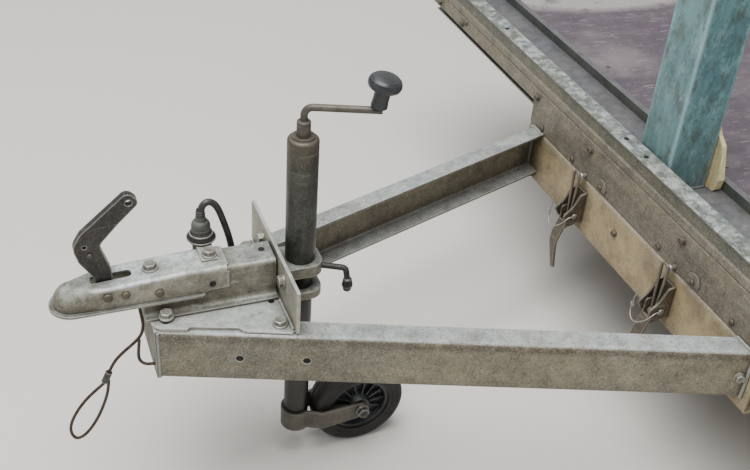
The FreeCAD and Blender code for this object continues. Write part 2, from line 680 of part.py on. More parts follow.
def jockey_stand():
    """Clamped outer tube, sliding inner tube, swivelling fork, wheel and crank."""
    at = lambda z: Vector(jockey_x, 0, z)
    height = stand_tube_top_z - stand_tube_bottom_z
    outer = rod(stand_tube_radius, at(stand_tube_bottom_z), UP * height)
    outer = outer.makeFillet(6, [e for e in outer.Edges if e.Closed and e.BoundBox.ZMin > stand_tube_top_z - 1])
    outer = outer.fuse(rod(17, at(stand_tube_top_z), UP * 3))
    outer = outer.cut(rod(stand_tube_bore, at(stand_tube_bottom_z - 1), UP * (height - 6)))
    outer = outer.cut(rod(6.3, at(stand_tube_top_z - 10), UP * 20)).removeSplitter()
    inner = ring(inner_tube_radius, inner_tube_bore, at(inner_tube_bottom_z),
                 UP * (inner_tube_top_z - inner_tube_bottom_z))

    half = jockey_wheel_width / 2
    arm_inner = half + fork_side_gap
    arm_outer = arm_inner + fork_wall
    low = inner_tube_bottom_z
    foot_z = low - fork_wall
    grip = inner_tube_radius + 0.3
    mouth = jockey_x - 12
    bend_x = jockey_x - 40
    tip_x = jockey_axle_x - 18
    collar = ring(grip + fork_wall, grip, at(foot_z), UP * fork_height)
    collar = collar.fuse(rod(grip + fork_wall, at(foot_z), UP * (fork_wall - 0.3)))
    collar = collar.cut(box(bend_x, mouth, -100, 100, 0, 200))
    root = math.sqrt((grip + fork_wall / 2) ** 2 - 12 ** 2) - fork_wall / 2
    strap = prism([(mouth + 2, root, 0), (mouth - 3, root, 6), (bend_x, arm_inner, 10), (tip_x, arm_inner, 0),
                   (tip_x, arm_outer, 0), (bend_x, arm_outer, 12), (mouth - 3, root + fork_wall, 8),
                   (mouth + 2, root + fork_wall, 0)], on_level(foot_z), UP * fork_height)
    axle_z0 = jockey_wheel_radius
    side = [(jockey_x, foot_z, 0), (jockey_x, foot_z + fork_height, 0), (bend_x, foot_z + fork_height - 3, 20),
            (jockey_axle_x, axle_z0 + 16, 15), (tip_x, axle_z0, 12), (jockey_axle_x, axle_z0 - 16, 15),
            (bend_x, foot_z, 20)]
    arm = strap.common(prism(side, on_side(-50), LEFT * 100)).cut(rod(grip, at(0), UP * 200))
    fork = collar.fuse([arm, mirrored(arm)]).removeSplitter()
    axle_at = Vector(jockey_axle_x, 0, jockey_wheel_radius)
    bolt = rod(8, axle_at - LEFT * (arm_outer + 6), LEFT * (2 * arm_outer + 12))
    fork = fork.fuse(bolt).removeSplitter()

    seat = jockey_wheel_radius * 0.66
    tyre = revolved([(-half, seat, 0), (-half, jockey_wheel_radius - 6, 0), (-half + 6, jockey_wheel_radius, 0),
                     (half - 6, jockey_wheel_radius, 0), (half, jockey_wheel_radius - 6, 0), (half, seat, 0)],
                    axle_at)
    bore = 8.1
    hub = revolved([(-half - 2, bore, 0), (-half - 2, 17, 0), (-7, 22, 0), (-7, seat - 9, 0),
                    (-half + 4, seat - 6, 0), (-half + 4, seat - 0.1, 0), (half - 4, seat - 0.1, 0),
                    (half - 4, seat - 6, 0), (7, seat - 9, 0), (7, 22, 0), (half + 2, 17, 0),
                    (half + 2, bore, 0)], axle_at)

    neck_z = stand_tube_top_z + 3.3
    neck = rod(10.5, at(neck_z), UP * 24)
    neck = neck.makeFillet(2.5, [e for e in neck.Edges if e.Closed and e.BoundBox.ZMin > neck_z + 23])
    outward = Vector(-95, 44, 0).normalize()
    knob_at = at(crank_end_z) + outward * crank_radius
    shank = bent_rod([at(crank_start_z - 30), at(crank_start_z), knob_at + outward * 7], 14, crank_rod)
    crank = rod(crank_rod, at(stand_tube_top_z - 6), UP * 30).fuse([neck, shank])
    lean = UP.cross(outward)
    pin = rod(knob_pin, knob_at, UP * 24)
    knob = revolved_up([(knob_pin + 0.1, 0), (12, 0), (12.5, 1), (11.5, 14), (12, 26), (15, 28.5),
                        (knob_radius - 4.5, 29.5), (knob_radius - 1.5, 32), (knob_radius, 36),
                        (knob_radius - 0.3, 40), (knob_radius - 2, 44), (knob_radius - 5.5, 47.2),
                        (knob_radius - 11, 49.3), (knob_radius - 18, 50), (0, 50), (0, 19),
                        (knob_pin + 0.1, 19)], knob_at + UP * (crank_rod + 0.6))
    for shape in (pin, knob):
        shape.rotate(knob_at, lean, knob_lean)
    crank = crank.fuse(pin).removeSplitter()
    knob = knob.cut(bent_rod([at(crank_start_z - 30), at(crank_start_z), knob_at + outward * 7], 14,
                             crank_rod + 0.3))
    return {"jockey_outer_tube": outer, "jockey_inner_tube": inner, "jockey_fork": fork,
            "jockey_tyre": tyre, "jockey_hub": hub, "crank_handle": crank, "crank_knob": knob}


def jockey_mount():
    """Upright plate behind the coupling, the tube clamp on it and the clamp's screw handle."""
    back = jockey_x + mount_plate_lead
    wide = mount_plate_half_width
    outline = [(-wide, plate_top_z, 0), (-wide, mount_plate_top_z, 3), (wide, mount_plate_top_z, 3),
               (wide, plate_top_z, 0)]
    plate = prism(outline, on_front(back), FORWARD * 5)
    reach = stand_tube_radius + clamp_wall + 3
    low = clamp_bottom_z
    high = clamp_top_z
    outline = [(back, -reach, 0), (jockey_x - reach, -reach, 22), (jockey_x - reach, reach, 22),
               (back, reach, 0)]
    block = prism(outline, on_level(low), UP * (high - low))
    room = prism([(back - clamp_wall, clamp_wall - reach, 0), (jockey_x - reach - 1, clamp_wall - reach, 0),
                  (jockey_x - reach - 1, reach + 1, 0), (back - clamp_wall, reach + 1, 0)],
                 on_level(low + 14), UP * (high - low - 34))
    clamp = block.cut(room)
    clamp = clamp.cut(rod(stand_tube_radius, Vector(jockey_x, 0, stand_tube_bottom_z), UP * 100))
    clamp = clamp.cut(rod(inner_tube_radius + 0.3, Vector(jockey_x, 0, low - 1), UP * 100))
    screw_z = high - 12
    start = Vector(jockey_x - stand_tube_radius, 12, screw_z)
    handle = [start, Vector(jockey_x - 68, 26, screw_z - 6), Vector(jockey_x - 72, 27, screw_z - 30)]
    screw = bent_rod(handle, 8, 5)
    bulb = revolved_up([(0, 0), (6, 2), (9, 12), (7, 24), (0, 30)], handle[-1] - UP * 22)
    screw = screw.fuse(bulb).removeSplitter()
    axis = (handle[1] - handle[0]).normalize()
    clamp = clamp.cut(rod(5, start - axis * 2, axis * 20))
    return {"jockey_mount_plate": plate, "jockey_clamp": clamp, "clamp_screw": screw}


def latches():
    """Over-centre latches on the crossmember: base, lever and the ring in front of the bed's stud."""
    nodes = {}
    for name, y in zip(("left", "right"), latch_places):
        face = bed_front_x
        at = Vector(face + latch_pivot_out, y, latch_pivot_z)
        low = latch_pivot_z - 17
        high = latch_pivot_z + 48
        back = box(face, face + 4, y - 18, y + 18, low, high)
        cheek = [(face, low, 0), (face + 34, low, 8), (face + 45, latch_pivot_z + 2, 8),
                 (face + 26, latch_pivot_z + 20, 30), (face + 14, high - 2, 8), (face, high, 0)]
        cheeks = [prism(cheek, on_side(y + s), LEFT * 4) for s in (-18, 14)]
        stubs = [rod(5, at - LEFT * 15, LEFT * 5.5), rod(5, at + LEFT * 9.5, LEFT * 5.5)]
        base = back.fuse(cheeks + stubs).removeSplitter()
        sides = [prism([(at.x - 10, at.z + 9, 6), (at.x + 12, at.z + 9, 6), (at.x + 12, at.z - 29, 0),
                        (at.x - 10, at.z - 23, 6)], on_side(y + s), LEFT * 3.5) for s in (-13, 9.5)]
        hole = rod(5.1, at - LEFT * 20, LEFT * 40)
        link_at = at - UP * latch_link_drop
        link_pin = rod(4, link_at - LEFT * 13, LEFT * 26)
        web = box(at.x + 8, at.x + 12, y - 13, y + 13, at.z - 29, at.z - 19)
        blade_side = [(at.x + 8, at.z - 19, 0), (at.x + 12, at.z - 19, 0), (at.x + 27, at.z - 62, 60),
                      (at.x + 16, at.z - 132, 0), (at.x + 11, at.z - 130, 0), (at.x + 22, at.z - 62, 60)]
        blade_front = [(y - 12, at.z - 18, 0), (y - 12, at.z - 50, 40), (y - 4, at.z - 133, 4),
                       (y + 4, at.z - 133, 4), (y + 12, at.z - 50, 40), (y + 12, at.z - 18, 0)]
        grip = prism(blade_side, on_side(y - 15), LEFT * 30)
        grip = grip.common(prism(blade_front, on_front(at.x), FORWARD * 40))
        sides = [s.cut(hole) for s in sides]
        lever = sides[0].fuse([sides[1], link_pin, web, grip]).removeSplitter()
        bar = latch_ring_bar
        top_z = latch_stud_z + 2
        ends = {side: (link_at + Vector(0, side * latch_ring_foot, 5),
                       Vector(link_at.x, y + side * latch_ring_top, top_z)) for side in (1, -1)}
        crown = Vector(link_at.x, y, top_z + latch_ring_top)
        path = Part.Wire([Part.LineSegment(*ends[1]).toShape(),
                          Part.Arc(ends[1][1], crown, ends[-1][1]).toShape(),
                          Part.LineSegment(ends[-1][1], ends[-1][0]).toShape()])
        section = Part.Wire(Part.makeCircle(bar, ends[1][0], ends[1][1] - ends[1][0]))
        link = path.makePipeShell([section], True, False)
        reach = latch_ring_foot + bar
        eye = ring(7, 4.1, link_at - LEFT * reach, LEFT * 2 * reach)
        eye = eye.cut(box(at.x - 10, at.x + 10, y - 3, y + 3, link_at.z - 10, link_at.z + 10))
        link = link.cut(rod(6, link_at - LEFT * reach, LEFT * 2 * reach)).fuse(eye)
        nodes[f"latch_base_{name}"] = base
        nodes[f"latch_lever_{name}"] = lever
        nodes[f"latch_ring_{name}"] = link.removeSplitter()
    return nodes


def running_gear():
    """Torsion axle beam, trailing arms with stub axles, and two road wheels."""
    half = axle_tube_size / 2
    beam_z = rail_bottom_z - half
    long = axle_tube_half_length
    beam = box_tube(beam_x - half, beam_x + half, -long, long, rail_bottom_z - axle_tube_size,
                    rail_bottom_z, axle_tube_wall, "y")
    arm = prism([(beam_x + 34, beam_z + 34, 30), (axle_x - 28, axle_z + 26, 24),
                 (axle_x - 28, axle_z - 26, 24), (beam_x + 34, beam_z - 34, 30)], on_side(long),
                LEFT * trail_arm_width)
    axle_at = Vector(axle_x, 0, axle_z)
    arm_outer = long + trail_arm_width
    stub = rod(stub_radius, axle_at + LEFT * arm_outer, LEFT * (wheel_y + 30 - arm_outer))
    shoulder = rod(28, axle_at + LEFT * arm_outer, LEFT * 16)
    arm = arm.fuse([stub, shoulder]).removeSplitter()
    nodes = {"axle_beam": beam}
    for name, shape in side_by_name(arm):
        nodes[f"axle_arm_{name}"] = shape

    half_tyre = tyre_width / 2
    half_rim = rim_width / 2
    seat = rim_radius + tyre_fit
    bead_y = half_rim - rim_edge - tyre_fit
    over = rim_radius + rim_lip + tyre_fit
    shoulder = tyre_radius - 14
    bulge = (rim_radius + tyre_radius) / 2
    tyre = revolved([
        (-bead_y, seat, 0), (-bead_y, over, 0), (-half_rim - 5, over + 7, 0), (-half_tyre, bulge, 0),
        (2 - half_tyre, shoulder, 0), (16 - half_tyre, tyre_radius, 0), (half_tyre - 16, tyre_radius, 0),
        (half_tyre - 2, shoulder, 0), (half_tyre, bulge, 0),
        (half_rim + 5, over + 7, 0), (bead_y, over, 0), (bead_y, seat, 0),
        (bead_y - 14, seat, 0), (half_tyre - 14, bulge, 0), (half_tyre - 18, tyre_radius - 12, 0),
        (18 - half_tyre, tyre_radius - 12, 0), (14 - half_tyre, bulge, 0), (14 - bead_y, seat, 0),
    ], axle_at)
    tyre.translate(LEFT * wheel_y)
    lip = rim_radius + rim_lip
    under = rim_radius - rim_wall
    well = rim_radius - rim_well
    barrel = revolved([
        (-half_rim, lip, 0), (rim_edge - half_rim, lip, 0), (rim_edge - half_rim, rim_radius, 0),
        (-24, rim_radius, 0), (-16, well, 0), (14, well, 0), (22, rim_radius, 0),
        (half_rim - rim_edge, rim_radius, 0), (half_rim - rim_edge, lip, 0), (half_rim, lip, 0),
        (half_rim, rim_radius + 2, 0), (half_rim - 5, under, 0), (24, under, 0),
        (16, well - rim_wall, 0), (-18, well - rim_wall, 0), (-26, under, 0), (5 - half_rim, under, 0),
        (-half_rim, rim_radius + 2, 0),
    ], axle_at)
    well_bottom = well - rim_wall / 2
    crown = 0.655 * rim_radius
    dish = 0.8 * rim_radius
    disc = revolved([(8, well_bottom, 0), (8, dish, 0), (30, crown, 0), (20, 70, 0), (20, 30, 0),
                     (24, 30, 0), (24, 68, 0), (34, crown, 0), (12, dish + 2, 0), (12, well_bottom, 0)],
                    axle_at)
    vents = []
    for i in range(10):
        angle = math.radians(36 * i)
        vent_r = 0.775 * rim_radius
        place = Vector(axle_x + vent_r * math.cos(angle), 0, axle_z + vent_r * math.sin(angle))
        vents.append(rod(9, place - LEFT * 10, LEFT * 60))
    disc = disc.cut(Part.Compound(vents))
    rim = barrel.fuse(disc).removeSplitter()
    rim.translate(LEFT * wheel_y)
    bore = stub_radius + 0.1
    hub = revolved([(-38, bore, 0), (-38, 34, 0), (-10, 34, 0), (-10, 55, 0), (19.7, 55, 0),
                    (19.7, 29, 0), (44, 26, 0), (48, 20, 0), (48, 0, 0), (31, 0, 0), (31, bore, 0)],
                   axle_at)
    hub.translate(LEFT * wheel_y)
    for name, shape in side_by_name(tyre):
        nodes[f"tyre_{name}"] = shape
    for name, shape in side_by_name(rim):
        nodes[f"wheel_{name}"] = shape
    for name, shape in side_by_name(hub):
        nodes[f"hub_{name}"] = shape
    return nodes


def mudguards():
    """Rolled mudguard with an inner wall that bolts to the bed's side rim."""
    inner = tyre_radius + mudguard_gap
    outer = inner + mudguard_sheet
    centre = Vector(axle_x, 0, axle_z)
    y0 = half_bed
    y1 = half_bed + mudguard_width
    arch = ring(outer, inner, centre + LEFT * y0, LEFT * mudguard_width)
    skirt = rod(outer, centre + LEFT * y0, LEFT * mudguard_sheet)
    skirt = skirt.common(box(axle_x - 400, axle_x + 400, y0, y1, rim_bottom_z + 2, 900))
    arch = arch.common(box(axle_x - 400, axle_x + 400, y0, y1, axle_z - 40, 900))
    low_gap = box(axle_x - 400, axle_x + 400, y0, y1, -200, axle_z - 40)
    lip = ring(outer, inner - 10, centre + LEFT * (y1 - mudguard_sheet), LEFT * mudguard_sheet).cut(low_gap)
    guard = arch.fuse([skirt, lip]).removeSplitter()
    return {f"mudguard_{name}": shape for name, shape in side_by_name(guard)}


def rear_gear():
    """Rear lamps and the blank plate on the rear sill."""
    face = bed_rear_x
    low = (sill_bottom_z + deck_top_z - lamp_height) / 2
    lamp = box(face - lamp_depth, face, lamp_inner_y, lamp_inner_y + lamp_width, low, low + lamp_height)
    lamp = lamp.makeFillet(8, [e for e in lamp.Edges if e.BoundBox.XMax < face - 1])
    plate_low = deck_top_z - 24 - plate_height
    half = plate_width / 2
    plate = prism([(-half, plate_low, 10), (half, plate_low, 10), (half, plate_low + plate_height, 10),
                   (-half, plate_low + plate_height, 10)], on_front(face - 2), FORWARD * 2)
    return {"number_plate": plate, "rear_lamps": Part.Compound([lamp, mirrored(lamp)])}


def post():
    """Square post that stands in the tray on the trailer's centreline, and its wooden wedge."""
    front = bed_front_x - post_setback
    rear = front - post_size
    right = post_left_edge - post_size
    outline = [(front, right, post_corner), (front, post_left_edge, post_corner),
               (rear, post_left_edge, post_corner), (rear, right, post_corner)]
    tube = prism(outline, on_level(tray_floor_z), UP * (post_top_z - tray_floor_z))
    hollow = box(rear + post_wall, front - post_wall, right + post_wall, post_left_edge - post_wall,
                 tray_floor_z, post_top_z - post_wall)
    tube = tube.cut(hollow)
    wall_x = bed_front_x - tray_depth
    floor = tray_floor_z
    top_z = floor + wedge_height
    side = [(wall_x + 4, floor, 0), (rear - 3, floor, 0), (rear - 2, top_z, 0), (rear - 8, top_z, 0)]
    face = [(2, floor, 3), (40, floor, 8), (45, floor + 26, 6), (39, floor + 56, 20), (32, floor + 88, 10),
            (16, floor + 102, 10), (9, floor + 114, 0), (5, top_z, 0), (-3, top_z, 0), (-6, floor + 50, 30)]
    wedge = prism(side, on_side(-20), LEFT * 80).common(prism(face, on_front(wall_x), FORWARD * 60))
    return {"post": tube, "post_wedge": wedge}


def cords():
    """Plug in its holder with its lead, and the safety cable with its eye."""
    plug_at = Vector(jockey_x + plug_lead_x, plug_y, 0)
    holder_z = coupling_rear_top_z
    bore = plug_radius + 1
    holder = ring(bore + 3.5, bore, plug_at + UP * holder_z, UP * 5)
    tongue = box(plug_at.x - 12, plug_at.x + 12, plug_y + 15, 10, holder_z, holder_z + 3)
    tongue = tongue.cut(rod(bore, plug_at + UP * (holder_z - 10), UP * 30))
    holder = holder.fuse(tongue).removeSplitter()
    plug = rod(plug_radius, plug_at + UP * (holder_z - 23), UP * 60)
    plug = plug.fuse([rod(plug_radius + 4, plug_at + UP * (holder_z + 5), UP * 8),
                      rod(9, plug_at + UP * (holder_z + 37), UP * 6)])
    exit_x, exit_y = lead_exit
    lead_points = [(plug_at.x, plug_at.y, 494), (plug_at.x, plug_at.y, 510), (jockey_x + 135, -48, 521),
                   (jockey_x + 121, -50, 512), (jockey_x + 110, -53, 480), (exit_x + 4, exit_y + 4, 430),
                   (exit_x, exit_y, 385), (exit_x, exit_y, 335), (jockey_x + 78, -66, 300)]
    under_z = leg_bottom_z - lead_radius - 0.4
    lead_points += [(jockey_x + 50, -78, under_z + 1), (jockey_x + 20, -98, under_z - 1)]
    run_start = jockey_x - 20
    run_end = bed_front_x + 40
    for i in range(6):
        x = run_start + (run_end - run_start) * i / 6
        lead_points.append((x, -leg_web_y(x) + 14 + 2 * (i % 2), under_z))
    end_y = -leg_web_y(run_end) + 16
    lead_points += [(run_end, end_y, under_z), (bed_front_x, end_y, under_z)]
    lead = tube_along(lead_points, lead_radius, "plug_lead")
    cable_points = [(jockey_x + x, y, z) for x, y, z in (
        (258, 20, 424), (258, 21, 404), (256, 23, 384), (254, 27, 364), (259, 30, 347), (273, 30, 333),
        (289, 30, 320), (304, 30, 304), (312, 30, 286))]
    cable = tube_along(cable_points, cable_radius, "safety_cable")
    tail_points = [(jockey_x + x, y, z) for x, y, z in (
        (263, 35.2, 344), (266, 37, 326), (267, 40, 309), (259, 43, 300), (246, 45, 299.8),
        (232, 46, 299.8))]
    tail = tube_along(tail_points, cable_radius, "anchor_cable")
    eye_points = [(jockey_x + x, y, z) for x, y, z in (
        (318, 30, 268), (331, 30, 257), (348, 30, 242), (364, 30, 222), (377, 30, 198), (381, 30, 176),
        (374, 30, 158), (360, 30, 162), (346, 30, 179), (333, 30, 202), (323, 30, 227), (316, 30, 250),
        (314, 30, 269))]
    eye = tube_along(eye_points, cable_radius, "cable_eye")
    ferrule_at = Vector(*cable_points[-1])
    ferrule = rod(5.5, ferrule_at, Vector(8, 0, -18))
    eye = eye.fuse(ferrule)
    return {"plug_holder": holder, "plug": plug, "plug_lead": lead, "safety_cable": cable,
            "anchor_cable": tail, "cable_eye": eye}


def build():
    nodes = {}
    for part in (bed_rims(), bed_floor(), {"bed_bearers": bearers()}, bed_frame(), chassis(), drawbar(),
                 coupling(), jockey_stand(), jockey_mount(), latches(), running_gear(), mudguards(),
                 rear_gear(), post(), cords()):
        nodes.update(part)
    return nodes


os.makedirs("parts", exist_ok=True)
for node, solid in build().items():
    solid.exportStep(f"parts/{node}.step")
    if not solid.isValid():
        print("not valid:", node)
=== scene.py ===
import math

import bmesh
import bpy
from mathutils import Euler, Matrix, Vector
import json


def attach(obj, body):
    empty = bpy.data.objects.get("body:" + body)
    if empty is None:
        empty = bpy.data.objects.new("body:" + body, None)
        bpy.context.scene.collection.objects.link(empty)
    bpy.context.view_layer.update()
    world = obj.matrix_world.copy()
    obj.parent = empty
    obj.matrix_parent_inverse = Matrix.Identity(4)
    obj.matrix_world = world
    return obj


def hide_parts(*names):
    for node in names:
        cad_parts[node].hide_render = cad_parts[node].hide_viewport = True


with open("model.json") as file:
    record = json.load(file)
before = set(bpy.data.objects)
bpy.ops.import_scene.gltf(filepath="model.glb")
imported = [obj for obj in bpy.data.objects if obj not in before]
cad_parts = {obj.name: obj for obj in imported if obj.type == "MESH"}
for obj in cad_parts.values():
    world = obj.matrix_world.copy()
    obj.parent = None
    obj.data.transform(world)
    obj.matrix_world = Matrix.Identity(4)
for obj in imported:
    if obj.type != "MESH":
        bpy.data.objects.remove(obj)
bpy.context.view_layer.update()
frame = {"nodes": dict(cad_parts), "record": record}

nodes = frame["nodes"]
mm = 0.001  # sizes below are in millimetres, and times this where Blender takes metres
up, forward, left = Vector((0, 0, 1)), Vector((1, 0, 0)), Vector((0, 1, 0))
down, back, right = -up, -forward, -left
sides = (("left", 1), ("right", -1))
latchAt = {"left": 145, "right": -153}  # where each latch stands across the bed
bedFront = 1015  # front plate of the bed, along the trailer
wheelAt = {"x": -698, "y": 1012.5, "z": 273}  # middle of a road wheel
print("frame loaded:", len(nodes), "nodes")


def photoCamera():
    # the photograph's viewpoint: just ahead of and to the left of the drawbar, looking down on it
    view = {"lens": 49.5, "sensor": 36.0, "place": (2.039, 1.2405, 1.401), "turn": (54.50, -3.74, 159.44),
            "farthest": 200.0}
    data = bpy.data.cameras.new("photoCamera")
    data.lens = view["lens"]
    data.sensor_width = view["sensor"]
    data.clip_end = view["farthest"]
    camera = bpy.data.objects.new("photoCamera", data)
    bpy.context.scene.collection.objects.link(camera)
    camera.location = view["place"]
    camera.rotation_euler = Euler([math.radians(a) for a in view["turn"]], "XYZ")
    bpy.context.scene.camera = camera


photoCamera()

# materials


def hexColour(code):  # sRGB hex to the linear values a shader wants
    parts = [int(code[i:i + 2], 16) / 255 for i in (1, 3, 5)]
    return tuple(c / 12.92 if c <= 0.04045 else ((c + 0.055) / 1.055) ** 2.4 for c in parts) + (1.0,)


def perMetre(sizeMm):  # pattern scale from the real size of one grain or patch
    return 1000.0 / sizeMm


def addNode(tree, kind, values=()):  # a socket is linked, a hex code becomes a colour, the rest is set
    node = tree.nodes.new("ShaderNode" + kind)
    for key, value in dict(values).items():
        if isinstance(value, bpy.types.NodeSocket):
            tree.links.new(value, node.inputs[key])
        elif isinstance(key, int) or key in node.inputs:
            node.inputs[key].default_value = hexColour(value) if isinstance(value, str) else value
        else:
            setattr(node, key, value)
    return node


def newMaterial(name):
    material = bpy.data.materials.new(name)
    material.use_nodes = True
    tree = material.node_tree
    tree.nodes.clear()
    place = addNode(tree, "TexCoord").outputs["Object"]
    shader = addNode(tree, "BsdfPrincipled")
    addNode(tree, "OutputMaterial", {"Surface": shader.outputs[0]})
    return material, tree, place, shader


def coats(tree, tone, *rows):  # tones laid over the first one: a mask, how strong it is, and the tone
    for mask, amount, above in rows:
        share = addNode(tree, "Math", {"operation": "MULTIPLY", 0: mask, 1: amount}).outputs[0]
        tone = addNode(tree, "Mix", {"data_type": "RGBA", 0: share, 6: tone, 7: above}).outputs[2]
    return tone


def cloud(tree, place, sizeMm, low, high, detail=5.0, rough=0.6, stretch=(1, 1, 1), shift=0.0):
    # cloudy mask, 0 below low and 1 above high, with patches of sizeMm
    moved = addNode(tree, "Mapping", {"Scale": stretch, "Location": (shift, shift * 0.7, shift * 1.3),
                                      "Vector": place}).outputs[0]
    noise = addNode(tree, "TexNoise", {"Scale": perMetre(sizeMm), "Detail": detail, "Roughness": rough,
                                       "Vector": moved}).outputs[0]
    return addNode(tree, "MapRange", {"Value": noise, "From Min": low, "From Max": high}).outputs[0]


def facingUp(tree, low=0.45, high=0.9):
    # 1 on faces turned to the sky, 0 on upright ones, and the other way round with high under low
    normal = addNode(tree, "SeparateXYZ", {0: addNode(tree, "NewGeometry").outputs["Normal"]})
    return addNode(tree, "MapRange", {"Value": normal.outputs[2], "From Min": low, "From Max": high}).outputs[0]


def convexEdgeMask(tree, reachMm=3.0):
    # 1 along convex corners, from how far a softened normal leaves the true one
    soft = addNode(tree, "Bevel", {"samples": 4, "Radius": reachMm * mm}).outputs[0]
    true = addNode(tree, "NewGeometry").outputs["Normal"]
    along = addNode(tree, "VectorMath", {"operation": "DOT_PRODUCT", 0: soft, 1: true}).outputs["Value"]
    return addNode(tree, "MapRange", {"Value": along, "From Min": 0.995, "From Max": 0.88}).outputs[0]


def creviceDirtAndShade(tree, reachMm):
    # 1 in corners, holes and under overlaps, where dirt settles and rain doesn't reach, and where shade falls:
    # painted shade with the dirt
    shade = addNode(tree, "AmbientOcclusion", {"samples": 6, "Distance": reachMm * mm}).outputs["AO"]
    return addNode(tree, "MapRange", {"Value": shade, "From Min": 0.9, "From Max": 0.35}).outputs[0]


def finishSurface(tree, shader, tone, rough, height, depthMm, strength, edgeMm=1.2):
    # rough is a mask with the roughness at its two ends, height a pattern that stands depthMm proud
    mask, least, most = rough
    spread = addNode(tree, "MapRange", {"Value": mask, "To Min": least, "To Max": most})
    soft = addNode(tree, "Bevel", {"samples": 4, "Radius": edgeMm * mm})
    relief = addNode(tree, "Bump", {"Strength": strength, "Distance": depthMm * mm, "Height": height,
                                    "Normal": soft.outputs[0]})
    tree.links.new(tone, shader.inputs["Base Color"])
    tree.links.new(spread.outputs[0], shader.inputs["Roughness"])
    tree.links.new(relief.outputs[0], shader.inputs["Normal"])


def agedSteel(name, look):
    # hot-dip galvanised or bare steel after years outdoors: dull side faces under road dirt, paler tops
    # that are a painted sky reflection, upright runs, speckled grit, brown grime with painted shade in the corners,
    # and pale rubbed edges with a painted highlight
    look = {**commonSteel, **look}
    side, sideDark, top, topDark, pale, run, dust, grime = look["tones"].split()
    material, tree, place, shader = newMaterial(name)
    shader.inputs["Metallic"].default_value = look["metallic"]
    part = addNode(tree, "SeparateXYZ", {0: place}).outputs
    # faces turned to the sky take the paler top tones: a painted sky reflection
    paintedSkyReflection = facingUp(tree)
    if "topLine" in look:  # only what lies above this height takes the paler painted sky reflection
        above = addNode(tree, "MapRange", {"Value": part[2], "From Min": look["topLine"] - 0.001,
                                           "From Max": look["topLine"]}).outputs[0]
        paintedSkyReflection = addNode(tree, "Math", {"operation": "MULTIPLY", 0: paintedSkyReflection, 1: above}).outputs[0]
    patches = cloud(tree, place, look["patchMm"], 0.38, 0.66, shift=1.0)
    mottled = cloud(tree, place, look["patchMm"] * 0.45, *look["mottle"], detail=7.0, shift=3.0)
    sideTone, topTone = coats(tree, side, (patches, 1.0, sideDark)), coats(tree, top, (mottled, 1.0, topDark))
    cells = addNode(tree, "TexVoronoi", {"Scale": perMetre(look["spangleMm"]), "Vector": place})
    spangle = addNode(tree, "SeparateXYZ", {0: cells.outputs["Color"]}).outputs[0]
    runs = cloud(tree, place, 30.0, 0.5, 0.7, stretch=(1, 1, 0.14), shift=2.0)
    film = cloud(tree, place, 110.0, 0.4, 0.7, shift=9.0)
    blotch = cloud(tree, place, 55.0, 0.48, 0.62, detail=9.0, rough=0.68, shift=41.0)
    tone = coats(tree, sideTone, (paintedSkyReflection, 1.0, topTone), (spangle, look["spangle"], pale),
                 (runs, look["runAmount"], run), (film, look["dustAmount"], dust), (blotch, look["blotch"], grime))
    for axis, start, end, colour, amount, *where in look["bands"]:
        reach = addNode(tree, "MapRange", {"Value": part[axis], "From Min": start, "From Max": end,
                                           "To Max": amount}).outputs[0]
        if where:
            steep = addNode(tree, "MapRange", {"Value": paintedSkyReflection, "From Min": 0.2, "From Max": 0.5, "To Min": 1.0,
                                               "To Max": 0.0}).outputs[0]
            reach = addNode(tree, "Math", {"operation": "MULTIPLY", 0: reach, 1: steep}).outputs[0]
        tone = coats(tree, tone, (reach, cloud(tree, place, 18.0, 0.2, 0.6, detail=7.0, shift=51.0), colour))
    grit = cloud(tree, place, 3.2, 0.48, 0.72, rough=0.7, shift=5.0)
    specks = cloud(tree, place, 3.8, 0.54, 0.7, rough=0.7, shift=15.0)
    scrapes = cloud(tree, place, 9.0, 0.6, 0.68, detail=6.0, rough=0.7, stretch=(0.12, 0.12, 1), shift=21.0)
    rust = cloud(tree, place, 14.0, 0.63, 0.72, detail=8.0, rough=0.7, shift=31.0)
    tone = coats(tree, tone, (grit, look["grit"] * 0.45, pale), (specks, look["grit"] * 1.3, grime),
                 (scrapes, look["scrape"], pale), (rust, look["rust"], look["rustTone"]),
                 # pale along convex edges: rubbed wear with a painted highlight
                 (convexEdgeMask(tree), look["edge"], pale),
                 # darker in crevices: grime with painted shade
                 (creviceDirtAndShade(tree, look["creviceMm"]), look["creviceAmount"], grime))
    pits = addNode(tree, "TexNoise", {"Scale": perMetre(1.8), "Detail": 5.0, "Roughness": 0.65, "Vector": place})
    finishSurface(tree, shader, tone, (film, look["rough"] - 0.1, look["rough"] + 0.15), pits.outputs[0], 0.5,
                  look["relief"])
    return material


# what most of the steels share: sizes in millimetres, strengths from 0 to 1
commonSteel = {"patchMm": 14.0, "spangleMm": 3.0, "spangle": 0.05, "runAmount": 0.3, "dustAmount": 0.3,
               "blotch": 0.35, "grit": 0.3, "scrape": 0.1, "rust": 0.35, "edge": 0.5, "creviceMm": 30.0,
               "creviceAmount": 0.7, "rough": 0.45, "metallic": 0.15, "relief": 0.4, "mottle": (0.4, 0.64),
               "bands": (), "rustTone": "#6b4527"}
